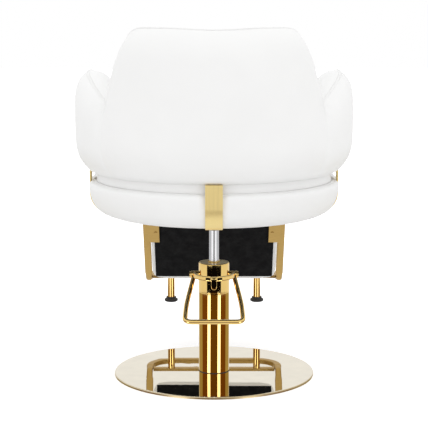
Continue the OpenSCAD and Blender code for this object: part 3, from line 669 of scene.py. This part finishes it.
def half_round(angles, rear, front, centre_y, dent=0.0):
    """Plan that is half round behind, its middle drawn in by dent, and squared off in front"""
    s, c = np.sin(angles), np.cos(angles)
    square = (np.abs(s / rear) ** PLAN_POWER + np.abs(c / front) ** PLAN_POWER) ** (-1 / PLAN_POWER)
    behind = np.abs(angles) <= math.pi / 2 + 1e-9
    x = np.where(behind, rear, square) * s
    y = centre_y + np.where(behind, rear - dent, square) * c
    return np.stack([x, y], axis=-1)


def plan_xy(angles, inset):
    """Points on the seat's plan at angles from the back, moved in by inset"""
    return half_round(angles, REAR_R - inset, PLAN_FRONT - inset, PLAN_Y)


def cushion_xy(angles, inset):
    """Points on the cushion's plan in the same way"""
    return half_round(angles, CUSHION_HIGH.x - inset, TUB_Y - CUSHION_LOW.y - inset, TUB_Y, LUMBAR)


def level_ring(xy, z):
    """Points of a plan at one height"""
    return np.column_stack([xy, np.full(len(xy), z)])


def ring_angles(count):
    """Angles from the back for count points round a closed plan"""
    return math.pi - 2 * math.pi * (np.arange(count) + 0.5) / count


def crest_at(degrees):
    """Height of the tub's crest at an angle from the back: shoulder, notch, then the rising arm"""
    w = np.abs(degrees)
    t = np.clip((w - SHOULDER_ANGLE) / (NOTCH_ANGLE - SHOULDER_ANGLE), 0, 1) ** SHOULDER_FALL
    top = BACK_TOP - CREST_DROP
    u = np.clip(w / SADDLE_ANGLE, 0, 1)
    saddle = (SADDLE_RISE * u * u * (3 - 2 * u) - SADDLE_DIP) * (1 - t)
    back = top - (top - NOTCH_Z) * t * t * (3 - 2 * t) + saddle
    rise = np.clip((w - NOTCH_ANGLE) / (90 - NOTCH_ANGLE), 0, 1)
    arm = NOTCH_Z + (ARM_Z - NOTCH_Z) * np.sin(rise * math.pi / 2)
    return np.where(w < NOTCH_ANGLE, back, arm)


def arm_crest(d):
    """Height of the crest at distances forward of the round back"""
    t = d / ARM_REACH
    u = np.clip((t - 0.5) / 0.5, 0, 1)
    low = ARM_Z - ARM_FALL - TUB_Z - ARM_NOSE
    return ARM_Z - ARM_FALL * t * t - low * (1 - np.sqrt(np.maximum(0, 1 - u * u)))


class Wall:
    """Stations along the tub's wall from the left arm's tip round the back to the right arm's tip"""

    def __init__(self):
        near = np.array([-9, -6, -4, -2.6, -1.6, -0.8, 0, 0.8, 1.6, 2.6, 4, 6, 9]) * 0.001
        dense = np.degrees(near / TUB_R)
        plain = np.arange(-90, 90.01, 1.25)
        far = np.min(np.abs(np.abs(plain)[:, None] - (SEAM_ANGLE + dense)[None]), axis=1) > 0.6
        angles = np.sort(np.concatenate([plain[far], SEAM_ANGLE + dense, -SEAM_ANGLE - dense]))
        straight = np.arange(0.008, ARM_REACH - ARM_END - 0.004, 0.008)
        nose = ARM_REACH - ARM_END + ARM_END * np.sin(np.radians(np.linspace(0, 88.5, 13)))
        arm = np.concatenate([straight, nose])
        turn = np.radians(angles)
        bend = np.maximum(0, np.cos(LUMBAR_FADE * turn))
        rounding = np.clip((arm - ARM_REACH + ARM_END) / ARM_END, 0, 1)
        thick = np.maximum(0.03, np.sqrt(np.maximum(0, 1 - rounding ** 2)))
        ones, zeros = np.ones(len(angles)), np.zeros(len(arm))
        back = np.stack([TUB_R * np.sin(turn), TUB_Y + TUB_R * np.cos(turn), np.sin(turn), np.cos(turn),
                         crest_at(angles), ones, bend, TUB_R * turn], axis=1)
        side = np.stack([TUB_R + zeros, TUB_Y - arm, zeros + 1, zeros, arm_crest(arm), thick, zeros,
                         TUB_R * math.pi / 2 + arm], axis=1)
        mirrored = side[::-1] * np.array([-1, 1, -1, 1, 1, 1, 1, -1])
        table = np.vstack([mirrored, back, side])
        self.x, self.y, self.nx, self.ny, self.crest, self.thick, self.lumbar, self.arc = table.T
        self.scale = np.minimum(1, (self.crest - TUB_Z) / 0.2)
        self.to_seam = np.abs(np.abs(self.arc) - TUB_R * math.radians(SEAM_ANGLE))

    def section(self, rows):
        """Section points from rows of outward distance and height, a number or one for each station"""
        zero = 0 * self.crest
        return np.stack([np.stack([r + zero, h + zero], axis=-1) for r, h in rows], axis=1)

    def points(self, section):
        """Section points (stations, count, 2) as places in the frame"""
        middle = -WALL_T / 2
        q = middle + (section[..., 0] - middle) * self.thick[:, None]
        return np.stack([self.x[:, None] + self.nx[:, None] * q, self.y[:, None] + self.ny[:, None] * q,
                         section[..., 1]], axis=-1)

    def cover_section(self):
        """Outside of the wall from under its core round the foot and up to the seam on the crest"""
        z, c, k = TUB_Z, self.crest, self.scale
        return self.section([
            (-0.042, z + 0.0008), (-0.036, z + 0.0030 * k), (-COVER_LAYER, z + 0.0090 * k),
            (-0.018, z + 0.021 * k), (-0.008, z + 0.038 * k), (-0.002, z + 0.060 * k), (0, z + 0.085 * k),
            (0, c - 0.066 * k), (-0.005, c - 0.034 * k), (-0.015, c - 0.014 * k), (-COVER_LAYER, c),
        ])

    def lining_section(self):
        """Inside of the wall from the seam on the crest down to the cushion"""
        z, c, k, b = TUB_Z, self.crest, self.scale, LUMBAR * self.lumbar
        return self.section([
            (-COVER_LAYER, c), (-0.050, c - 0.005 * k), (-0.066, c - 0.015 * k), (-0.076, c - 0.028 * k),
            (-WALL_T, c - 0.044 * k), (-WALL_T - b, z + 0.150 * k), (-WALL_T - b, z + 0.060 * k),
            (-WALL_T + 0.004, z),
        ])

    def hidden_section(self):
        """Underside and back of the lining, against the core"""
        z, c, k = TUB_Z, self.crest, self.scale
        return self.section([
            (-FOOT_IN, z), (-CORE_INNER, z + 0.004 * k), (-CORE_INNER, c - CORE_DROP),
            (-COVER_LAYER, c - CORE_DROP),
        ])


def wall_relief(wall, points, seed):
    """Lift of the cover over the foam: puffed between seams, sewn in at them, with faint creases"""
    s = sizes()
    step = np.linalg.norm(np.diff(points, axis=1), axis=-1)
    run = np.concatenate([np.zeros((len(points), 1)), np.cumsum(step, axis=1)], axis=1)
    to_edge = np.minimum(run, run[:, -1:] - run)
    to_seam = wall.to_seam[:, None] + 0 * run
    nearest = np.minimum(to_edge, to_seam)
    puff = s.puff * (1 - np.exp(-nearest / PUFF_REACH))
    groove = s.groove * np.exp(-(to_seam / GROOVE_HALF) ** 2)
    ridge = 0.35 * s.groove * np.exp(-((to_seam - STITCH_BESIDE) / 0.003) ** 2)
    spread = np.stack([wall.arc[:, None] + 0 * run, run * 0.35, 0 * run], axis=-1)
    gathers = ripple(spread, GATHER_L, seed)
    pull = GATHER_H * gathers * np.exp(-to_edge / 0.016) * np.minimum(1, to_edge / 0.003)
    broad = WAVE_H * ripple(points, WAVE_L, seed + 5)
    notch = np.hypot(to_seam, points[..., 2] - NOTCH_Z)
    fan = np.arctan2(points[..., 2] - NOTCH_Z, to_seam + 0.004)
    folds = FOLD_H * np.cos(FOLD_COUNT * fan) * np.exp(-(notch / FOLD_L) ** 2)
    free = np.minimum(1, to_edge / 0.010)
    narrow = np.clip(wall.thick[:, None], 0, 1)
    seam = (groove - ridge) * np.minimum(1, to_edge / 0.004)
    return (puff + (broad + folds) * free - seam) * narrow + pull * narrow


def wall_rows(grid, normals, wall, first, last):
    """Path and normals up the wall beside each sewn seam, from its first row to its last"""
    rows = []
    for side in (-1, 1):
        target = side * (TUB_R * math.radians(SEAM_ANGLE) + STITCH_BESIDE)
        index = int(np.argmin(np.abs(wall.arc - target)))
        rows.append((grid[index, first:last], normals[index, first:last]))
    return rows


class CHAIR_OT_materials(bpy.types.Operator):
    """Make every finish and put it on the fixed frame's pieces"""

    bl_idname = "chair.materials"
    bl_label = "Finishes"

    def execute(self, context):
        make_materials()
        for row in frame["record"]["subparts"]:
            node = frame["nodes"][row["node"]]
            node.data.materials.clear()
            node.data.materials.append(MATERIALS[row["material_slot"]])
        return {"FINISHED"}


class CHAIR_OT_metalwork(bpy.types.Operator):
    """Round the sharp edges of the frame's pieces, smooth their curves, and lay a thin black ring round
    the column's foot as a painted contact shadow
    """

    bl_idname = "chair.metalwork"
    bl_label = "Metalwork edges"

    edge_of = {
        "base_cover": 0.0004, "column_sleeve": 0.0003, "pump_head": 0.0006, "gland_ring": 0.0006,
        "pedal_pins": 0.0008, "back_strip": 0.0008, "side_strip_left": 0.0008,
        "side_strip_right": 0.0008, "strip_screws": 0.0006, "foot_cross_bar": 0.0010,
        "calf_brackets": 0.0006, "calf_screws": 0.0006, "bumper_studs": 0.0008, "bumper_feet": 0.0010,
        "swivel_hub": 0.0010, "mount_plate": 0.0010, "seat_rails": 0.0008, "plate_bolts": 0.0005,
        "footrest_bolts": 0.0005, "floor_pad": 0.0003,
    }

    # Forged and bent pieces with well rounded edges: the grid and the passes that round them
    forged = {
        "pedal_yoke": (0.0007, 8), "foot_front_bar": (0.0015, 6),
    }

    def execute(self, context):
        for name, node in frame["nodes"].items():
            mesh = node.data
            if "custom_normal" in mesh.attributes:
                mesh.attributes.remove(mesh.attributes["custom_normal"])
            mesh.polygons.foreach_set("use_smooth", [True] * len(mesh.polygons))
            if name in self.forged:
                voxel, passes = self.forged[name]
                add_modifier(node, "grid", "REMESH", mode="VOXEL", voxel_size=voxel, use_smooth_shade=True)
                add_modifier(node, "rounding", "SMOOTH", factor=0.6, iterations=passes)
                continue
            add_modifier(node, "weld", "WELD", merge_threshold=0.00001)
            add_modifier(node, "edge", "BEVEL", width=self.edge_of.get(name, 0.0003), segments=2,
                         limit_method="ANGLE", angle_limit=math.radians(32))
            add_modifier(node, "shading", "WEIGHTED_NORMAL", keep_sharp=True, weight=100)

        # Painted contact shadow: a thin black rubber ring where the column stands on the base
        low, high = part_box("column_sleeve")
        turn = np.radians(np.arange(0, 360, 5))
        path = level_ring(high.x * np.column_stack([np.cos(turn), np.sin(turn)]), low.z + FOOT_SHADOW_RISE)
        foot_shadow_ring = tube("column_foot_shadow_ring", path, FOOT_SHADOW_R, closed=True)
        finish_piece(foot_shadow_ring, "base", "black_rubber")
        return {"FINISHED"}


class CHAIR_OT_tub(bpy.types.Operator):
    """Build the tub's outer cover, its lining, the welt on its crest and the stitched seams"""

    bl_idname = "chair.tub"
    bl_label = "Tub"

    def execute(self, context):
        s = sizes()
        wall = Wall()
        skins = []
        for section, facing, seed in ((wall.cover_section(), 1, 3.0), (wall.lining_section(), -1, 11.0)):
            points = wall.points(spline(section, s.rows))
            normals = grid_normals(points, False, len(points) // 2, s.rows // 2, facing)
            skins.append((points + normals * wall_relief(wall, points, seed)[..., None], normals))
        (outside, _), (inside, inner_normals) = skins

        cover = loft("tub_cover_skin", outside)
        finish_piece(cover, "seat", "white_vinyl", ["tub_cover"])
        hidden = wall.points(wall.hidden_section())
        lining = loft("tub_lining_skin", np.concatenate([inside, hidden], axis=1))
        finish_piece(lining, "seat", "white_vinyl", ["tub_lining"])

        crest = outside[:, -1] - np.array([0, 0, 0.0010])
        ends = []
        for tip in (crest[0], crest[-1]):
            heights = np.arange(tip[2], TUB_Z + 0.004, -0.006)[1:]
            ends.append(np.stack([tip[0] + 0 * heights, tip[1] + 0 * heights, heights], axis=1))
        path = even(np.vstack([ends[0][::-1], crest, ends[1]]), 0.004)
        welt = tube("tub_welt", path, s.welt_d / 2)
        finish_piece(welt, "seat", "white_vinyl")

        top = slice(10, -10)
        rows = wall_rows(inside, inner_normals, wall, first=3, last=-4)
        rows.append((inside[top, 1], inner_normals[top, 1]))
        thread = stitches("tub_stitches", rows)
        finish_piece(thread, "seat", "white_vinyl", finish="thread")
        return {"FINISHED"}


class CHAIR_OT_drum(bpy.types.Operator):
    """Build the upholstered drum that swells between the gold strips, its piping and the plinth band"""

    bl_idname = "chair.drum"
    bl_label = "Drum and plinth"

    def execute(self, context):
        s = sizes()
        angles = ring_angles(420)
        low, top = DRUM_LOW.z, DRUM_HIGH.z
        bend = np.radians(np.linspace(80, 0, 13))
        # Inset and height, from the pocket round the lower edge and up to the lip
        profile = np.vstack([
            [POCKET_IN, low],
            np.stack([DRUM_ROUND * (1 - np.cos(bend)), low + DRUM_ROUND * (1 - np.sin(bend))], axis=1),
            [(0, low + 0.057), (0, low + 0.062), (0, top - 0.016), (0.0001, top - 0.012),
             (0.0004, top - 0.009), (0.0016, top - 0.005), (0.0040, top - 0.002), (LIP_IN, top)],
        ])
        turn = np.abs(angles)
        gap = np.minimum(turn, np.abs(turn - math.pi / 2)) * REAR_R - STRIP_HALF
        held = np.clip(gap / SWELL_REACH, 0, 1)
        swell = held * held * (3 - 2 * held)
        dent = np.exp(-((gap - DENT_AT) / DENT_HALF) ** 2)
        rings = []
        for inset, z in profile:
            rise = min(1, max(0, (z - low) / (top - low)))
            over = min(1, max(0, (rise - 0.42) / 0.44))
            share = min(1, rise / 0.12) * (0.30 + 0.70 * over * over * (3 - 2 * over))
            out = (s.bulge * swell - DENT_H * dent) * share
            rings.append(level_ring(plan_xy(angles, inset - out), z))
        rings = np.array(rings)
        normals = grid_normals(rings, True, 10, len(angles) // 2, 1)
        share = np.sin(math.pi * np.linspace(0, 1, len(profile)))[:, None]
        broad = DRUM_WAVE_H * ripple(rings, DRUM_WAVE_L, 21.0)
        arc = np.stack([angles * REAR_R, 0 * angles, 0 * angles], axis=-1)
        pleats = PLEAT_H * ripple(arc, PLEAT_L, 27.0)[None] * np.exp(-np.clip(gap, 0, 1) / 0.025)[None]
        rings = rings + normals * ((broad + pleats) * share)[..., None]
        pocket = level_ring(plan_xy(angles, POCKET_IN), low + POCKET_RISE)
        roof = level_ring(plan_xy(angles, PLINTH_IN + 0.004), top)
        drum = loft("drum_skin", np.concatenate([pocket[None], rings, roof[None]]))
        finish_piece(drum, "seat", "white_vinyl", ["seat_drum"])

        lip = level_ring(plan_xy(angles, LIP_IN), top - 0.0002)
        welt = tube("drum_welt", even(lip, WELT_PITCH, True), s.welt_d / 2, closed=True)
        finish_piece(welt, "seat", "white_vinyl")

        levels = np.linspace(0, 1, 9)
        insets = PLINTH_IN - BAND_OUT + BAND_BELLY * np.sin(math.pi * levels)
        band = np.array([level_ring(plan_xy(angles, inset), top + (TUB_Z - top) * t)
                         for inset, t in zip(insets, levels)])
        sag = BAND_WAVE_H * ripple(band, BAND_WAVE_L, 33.0) * np.sin(math.pi * levels)[:, None]
        out = unit((band - np.array([0, PLAN_Y, 0])) * np.array([1, 1, 0]))
        plinth = loft("plinth_band", band + out * sag[..., None])
        finish_piece(plinth, "seat", "white_vinyl", ["seat_plinth"])
        return {"FINISHED"}


def points_of(obj):
    """The mesh's points as an array"""
    return np.array([v.co for v in obj.data.vertices])


def set_points(obj, points):
    """Moves the mesh's points"""
    obj.data.vertices.foreach_set("co", points.astype(np.float32).ravel())
    obj.data.update()


def shaped(obj):
    """The piece as its modifiers shape it"""
    return obj.evaluated_get(bpy.context.evaluated_depsgraph_get())


def swell_cloth(obj, pinned, cap, frames=20):
    """Swells a closed mesh like sewn foam: pinned points stay, and no point moves further than cap"""
    rest = points_of(obj)
    group = obj.vertex_groups.new(name="sewn")
    group.add([int(i) for i in np.nonzero(pinned)[0]], 1.0, "ADD")
    cloth = obj.modifiers.new("foam", "CLOTH")
    cloth.settings.use_pressure = True
    cloth.settings.uniform_pressure_force = sizes().pressure
    cloth.settings.effector_weights.gravity = 0
    cloth.settings.vertex_group_mass = "sewn"
    cloth.settings.tension_stiffness = 22
    cloth.settings.compression_stiffness = 22
    cloth.settings.bending_stiffness = 1.5
    cloth.settings.quality = 5
    cloth.point_cache.frame_start = 1
    cloth.point_cache.frame_end = frames
    for number in range(1, frames + 1):
        bpy.context.scene.frame_set(number)
    shift = points_of(shaped(obj)) - rest
    obj.modifiers.remove(cloth)
    bpy.context.scene.frame_set(1)
    length = np.linalg.norm(shift, axis=1, keepdims=True)
    set_points(obj, rest + shift * np.minimum(1, cap / np.maximum(length, 1e-9)))
    obj.vertex_groups.clear()


def apply_modifier(obj, kind, **settings):
    """Gives the piece the mesh that a modifier makes of it, shaded smooth"""
    modifier = add_modifier(obj, "shape", kind, **settings)
    made = bpy.data.meshes.new_from_object(shaped(obj))
    obj.modifiers.remove(modifier)
    obj.data = made
    made.polygons.foreach_set("use_smooth", [True] * len(made.polygons))


def remesh(obj, voxel):
    """Even quads of about voxel size over the same closed form"""
    apply_modifier(obj, "REMESH", mode="VOXEL", voxel_size=voxel)


class CHAIR_OT_cushion(bpy.types.Operator):
    """Build the boxed seat cushion, swelled like foam between its piping and the board under it"""

    bl_idname = "chair.cushion"
    bl_label = "Seat cushion"

    def execute(self, context):
        angles = ring_angles(240)
        low, edge, top = BOARD_LOW.z + 0.0006, CUSHION_LOW.z + 0.019, CUSHION_HIGH.z
        # Inset and height, from the board up over the seam to the crown
        levels = [
            (0.006, low), (0.0015, low + 0.001), (0.0010, low + 0.006), (0.0025, edge - 0.008),
            (SEAM_IN, edge), (0.010, edge + 0.006), (0.040, edge + 0.011), (0.100, edge + 0.014),
            (0.180, edge + 0.016),
        ]
        rings = [level_ring(cushion_xy(angles, inset), z) for inset, z in levels]
        cushion = loft("cushion_skin", rings)
        remesh(cushion, voxel=0.006)
        rest = points_of(cushion)
        seam_ring = level_ring(cushion_xy(angles, SEAM_IN), edge)
        near = np.abs(rest[:, 2] - edge) < 0.0045
        apart = rest[near][:, None, :2] - seam_ring[None, :, :2]
        away = np.min(np.linalg.norm(apart, axis=2), axis=1)
        pinned = rest[:, 2] < low + 0.004
        pinned[np.nonzero(near)[0][away < 0.006]] = True
        swell_cloth(cushion, pinned, cap=0.022)
        points = points_of(cushion)
        points[:, 2] = np.minimum(points[:, 2], top + 0.004)
        radius = np.hypot(points[:, 0], np.maximum(points[:, 1] - TUB_Y, 0))
        points[:, 0] *= np.minimum(1, (TUB_R - WALL_T - 0.0004) / np.maximum(radius, 1e-6))
        set_points(cushion, points)
        apply_modifier(cushion, "SUBSURF", levels=1)
        finish_piece(cushion, "seat", "white_vinyl", ["seat_cushion"])
        welt = tube("cushion_welt", even(seam_ring, WELT_PITCH, True), sizes().welt_d / 2, closed=True)
        finish_piece(welt, "seat", "white_vinyl")
        return {"FINISHED"}


class CHAIR_OT_calf_pad(bpy.types.Operator):
    """Build the calf pad: foam on a board, its cover drawn round to the back"""

    bl_idname = "chair.calf_pad"
    bl_label = "Calf pad"

    def execute(self, context):
        c, sn = math.cos(CALF_LEAN), math.sin(CALF_LEAN)
        upright = np.array([[1, 0, 0], [0, c, -sn], [0, sn, c]])
        nodes = [frame["nodes"][name] for name in ("calf_pad", "calf_backing")]
        own, sheet = (points_of(node) @ upright.T for node in nodes)
        rear = sheet[:, 1].min()
        low, high = own[:, 2].min(), own[:, 2].max()
        half = own[:, 0].max()
        count = 160
        turn = 2 * math.pi * (np.arange(count) + 0.5) / count
        middle = (low + high) / 2

        def ring(inset, y):
            w, h = half - inset, (high - low) / 2 - inset
            r = min(PAD_CORNER, 0.95 * w, 0.95 * h)
            x, z = np.cos(turn), np.sin(turn)
            power = 2 + 14 * max(0, 1 - r / 0.09)
            k = (np.abs(x / w) ** power + np.abs(z / h) ** power) ** (-1 / power)
            return np.column_stack([k * x, np.full(count, y), middle + k * z])

        # Inset and depth, from the cover's edge on the back sheet forward
        levels = [
            (0.0115, rear), (0.0022, rear - 0.0002), (0.0004, rear - 0.0022), (0.0006, rear - 0.014),
            (0.002, rear - 0.026), (0.005, rear - 0.034), (0.014, rear - 0.039), (0.040, rear - 0.042),
            (0.080, rear - 0.043),
        ]
        pad = loft("calf_pad_skin", [ring(inset, y) for inset, y in levels])
        remesh(pad, voxel=0.005)
        rest = points_of(pad)
        swell_cloth(pad, rest[:, 1] > rear - 0.006, cap=0.014)
        points = points_of(pad)
        points[:, 0] = np.clip(points[:, 0], -half - 0.0018, half + 0.0018)
        points[:, 1] = np.minimum(points[:, 1], rear)
        set_points(pad, points)
        apply_modifier(pad, "SUBSURF", levels=1)
        set_points(pad, points_of(pad) @ upright)
        finish_piece(pad, "seat", "white_vinyl", ["calf_pad"])
        return {"FINISHED"}


def soften(obj, weight, passes):
    """Moves each point towards the middle of its neighbours, as far as its weight says"""
    mesh = obj.data
    ends = np.zeros(2 * len(mesh.edges), dtype=np.int64)
    mesh.edges.foreach_get("vertices", ends)
    a, b = ends.reshape(-1, 2).T
    points = points_of(obj)
    count = len(points)
    share = np.bincount(a, minlength=count) + np.bincount(b, minlength=count)
    for _ in range(passes):
        total = np.stack([np.bincount(a, points[b, k], count) + np.bincount(b, points[a, k], count)
                          for k in range(3)], axis=1)
        points += weight[:, None] * (total / share[:, None] - points)
    set_points(obj, points)


class CHAIR_OT_footrest(bpy.types.Operator):
    """Build the footrest's side bars, drawn round at the bends where they turn forward"""

    bl_idname = "chair.footrest"
    bl_label = "Footrest bars"

    def execute(self, context):
        for side in ("left", "right"):
            name = "footrest_leg_" + side
            node = frame["nodes"][name]
            low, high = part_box(name)
            faces = [tuple(face.vertices) for face in node.data.polygons]
            bar = make_object("bar_" + side, points_of(node), faces)
            remesh(bar, voxel=0.0015)
            bend = np.array([(low.x + high.x) / 2, LEG_BEND_Y, low.z + BAR_T / 2])
            away = np.linalg.norm(points_of(bar) - bend, axis=1)
            soften(bar, np.full(len(away), 0.5), passes=5)
            soften(bar, 0.6 * np.clip((BEND_REACH - away) / BEND_FADE, 0, 1), passes=70)
            finish_piece(bar, "seat", "satin_gold", [name])
        return {"FINISHED"}


class CHAIR_OT_pedal(bpy.types.Operator):
    """Build the bent pedal rod, and keep it and the base's pieces out of mirror images"""

    bl_idname = "chair.pedal"
    bl_label = "Pedal rod"

    def execute(self, context):
        low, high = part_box("pedal_pins")
        pivot = np.array([0, 0, (low.z + high.z) / 2])
        top, foot = pivot + PEDAL_TOP, pivot + PEDAL_LOW
        kink = top + (foot - top) * KINK_AT
        kink[0] = foot[0] - KINK_IN
        start = foot + unit(kink - foot) * ROD_CORNER
        end = foot - np.array([ROD_CORNER, 0, 0])
        t = np.linspace(0, 1, 10)[:, None]
        bend = (1 - t) ** 2 * start + 2 * t * (1 - t) * foot + t * t * end
        half = np.vstack([spline(np.array([top, kink, start]), 26)[:-1], bend])
        path = np.vstack([half, (half * np.array([-1, 1, 1]))[::-1]])
        rod = tube("pedal_rod", even(path, 0.0035), ROD_R, sides=20)
        finish_piece(rod, "pedal", "polished_gold", ["pedal_loop"])
        rod.visible_glossy = False
        for name in UNMIRRORED:
            frame["nodes"][name].visible_glossy = False
        return {"FINISHED"}


# Studio

def bare_material(name):
    """A node material without any node, and its tree"""
    material = bpy.data.materials.new(name)
    material.use_nodes = True
    material.node_tree.nodes.clear()
    return material, material.node_tree


def card_material(name, colour, second):
    """Plain glow of a reflection card; a second card shows only in what the base mirrors"""
    material, tree = bare_material(name)
    glow = add_node(tree, "ShaderNodeEmission", {"Color": (*colour, 1), "Strength": 1.0}).outputs[0]
    if second:
        depth = add_node(tree, "ShaderNodeLightPath").outputs["Ray Depth"]
        later = add_node(tree, "ShaderNodeMath", {0: depth, 1: 1.5}, operation="GREATER_THAN")
        clear = add_node(tree, "ShaderNodeBsdfTransparent")
        values = {0: later.outputs[0], 1: clear.outputs[0], 2: glow}
        glow = add_node(tree, "ShaderNodeMixShader", values).outputs[0]
    add_node(tree, "ShaderNodeOutputMaterial", {"Surface": glow})
    return material


def floor_material():
    """Pale floor that keeps shadows: diffuse paint, lifted to white for the camera, more so far away"""
    material, tree = bare_material("pale_floor")
    paint = add_node(tree, "ShaderNodeBsdfDiffuse", {"Color": (0.88, 0.88, 0.88, 1)})
    place = add_node(tree, "ShaderNodeTexCoord").outputs["Object"]
    distance = add_node(tree, "ShaderNodeVectorMath", {0: place}, operation="LENGTH").outputs["Value"]
    values = {"Value": distance, "From Min": 0.6, "From Max": 2.4, "To Min": 0.47, "To Max": 1.0}
    far = add_node(tree, "ShaderNodeMapRange", values).outputs["Result"]
    seen = add_node(tree, "ShaderNodeLightPath").outputs["Is Camera Ray"]
    lift = add_node(tree, "ShaderNodeMath", {0: far, 1: seen}, operation="MULTIPLY").outputs[0]
    glow = add_node(tree, "ShaderNodeEmission", {"Color": (1, 1, 1, 1), "Strength": lift})
    both = add_node(tree, "ShaderNodeAddShader", {0: paint.outputs[0], 1: glow.outputs[0]})
    add_node(tree, "ShaderNodeOutputMaterial", {"Surface": both.outputs[0]})
    return material


def studio_world():
    """White surround of strength 1, for the camera, the reflections and the light alike"""
    world = bpy.data.worlds.new("studio")
    bpy.context.scene.world = world
    world.use_nodes = True
    tree = world.node_tree
    tree.nodes.clear()
    white = add_node(tree, "ShaderNodeBackground", {"Color": (1, 1, 1, 1), "Strength": 1.0})
    add_node(tree, "ShaderNodeOutputWorld", {"Surface": white.outputs[0]})


def card(name, from_deg, to_deg, low, high, colour, second=False):
    """Curved reflection card round the chair, seen only in polished metal; angles count from the back"""
    turn = np.radians(np.linspace(from_deg, to_deg, 24))
    around = CARD_R * np.stack([np.sin(turn), np.cos(turn)], axis=1)
    rings = [level_ring(around, z) for z in (low, high)]
    obj = loft(name, rings, closed=False, caps=False)
    obj.data.materials.append(card_material(name, colour, second))
    obj.visible_camera = False
    obj.visible_diffuse = False
    obj.visible_shadow = False
    obj.visible_transmission = False


def softbox(name, place, size, power):
    """Square area lamp that faces the chair's middle"""
    lamp = bpy.data.lights.new(name, "AREA")
    lamp.shape = "SQUARE"
    lamp.size = size
    lamp.energy = power
    obj = bpy.data.objects.new(name, lamp)
    bpy.context.scene.collection.objects.link(obj)
    obj.location = place
    obj.rotation_euler = (Vector((0, 0, 0.5)) - Vector(place)).to_track_quat("-Z", "Y").to_euler()
    obj.visible_camera = False
    obj.visible_glossy = False


class CHAIR_OT_stage(bpy.types.Operator):
    """Set up the floor, the lamps, the reflection cards and the camera"""

    bl_idname = "chair.stage"
    bl_label = "Studio"

    def execute(self, context):
        scene = context.scene
        scene.view_settings.view_transform = "Standard"
        studio_world()
        corners = [(x * FLOOR_HALF, y * FLOOR_HALF, 0) for x, y in ((-1, -1), (1, -1), (1, 1), (-1, 1))]
        floor = make_object("floor", corners, [(0, 1, 2, 3)])
        floor.data.materials.append(floor_material())
        floor.visible_glossy = False
        softbox("key", place=(1.6, 3.4, 3.2), size=2.6, power=8)
        softbox("fill", place=(-2.2, 3.0, 2.4), size=2.6, power=6)
        softbox("top", place=(0, -0.6, 3.6), size=3.0, power=6)

        for part, low, high, second in (
                ("direct", CARD_FLOOR, HEAD_LOW, False), ("bounced", CARD_BOUNCED, CARD_TOP, True)):
            card("dark_card_" + part, -27.5, 27.5, low, high, UMBER, second)
            for side in (-1, 1):
                for kind, start, end, colour in SIDE_CARDS:
                    name = "%s_card_%s_%d" % (kind, part, side + 1)
                    card(name, side * start, side * end, low, high, colour, second)
        card("black_card_head", -54, 54, HEAD_LOW, HEAD_HIGH, BLACK)
        card("dark_card_piston", -13, 13, HEAD_HIGH, PISTON_HIGH, DARK_GREY)
        for side in (-1, 1):
            card("grey_card_piston_%d" % (side + 1), side * 62, side * 160, HEAD_HIGH, PISTON_HIGH, GREY)

        camera = bpy.data.cameras.new("camera")
        camera.lens = CAMERA_LENS
        camera.sensor_width = 36.0
        obj = bpy.data.objects.new("camera", camera)
        scene.collection.objects.link(obj)
        obj.location = CAMERA_PLACE
        obj.rotation_euler = (math.radians(90 - CAMERA_DOWN), 0, math.pi)
        scene.camera = obj
        return {"FINISHED"}


class CHAIR_PT_panel(bpy.types.Panel):
    """Sizes, colours and the steps that build the chair"""

    bl_idname = "CHAIR_PT_panel"
    bl_label = "Hairdressing chair"
    bl_space_type = "VIEW_3D"
    bl_region_type = "UI"
    bl_category = "Chair"

    def draw(self, context):
        for group in (context.scene.chair_sizes, context.scene.chair_colours):
            box = self.layout.box()
            for key in group.__annotations__:
                box.prop(group, key)
        for step in STEPS:
            self.layout.operator(step.bl_idname)


STEPS = (
    CHAIR_OT_materials, CHAIR_OT_metalwork, CHAIR_OT_tub, CHAIR_OT_drum, CHAIR_OT_cushion,
    CHAIR_OT_calf_pad, CHAIR_OT_footrest, CHAIR_OT_pedal, CHAIR_OT_stage,
)
CLASSES = (ChairSizes, ChairColours) + STEPS + (CHAIR_PT_panel,)


def register():
    """Adds the settings, steps and panel"""
    for cls in CLASSES:
        bpy.utils.register_class(cls)
    bpy.types.Scene.chair_sizes = PointerProperty(type=ChairSizes)
    bpy.types.Scene.chair_colours = PointerProperty(type=ChairColours)


def unregister():
    """Takes them away again"""
    del bpy.types.Scene.chair_colours
    del bpy.types.Scene.chair_sizes
    for cls in reversed(CLASSES):
        bpy.utils.unregister_class(cls)


def main():
    """Builds the chair and its studio"""
    register()
    for step in STEPS:
        group, name = step.bl_idname.split(".")
        getattr(getattr(bpy.ops, group), name)()


if __name__ == "__main__":
    main()
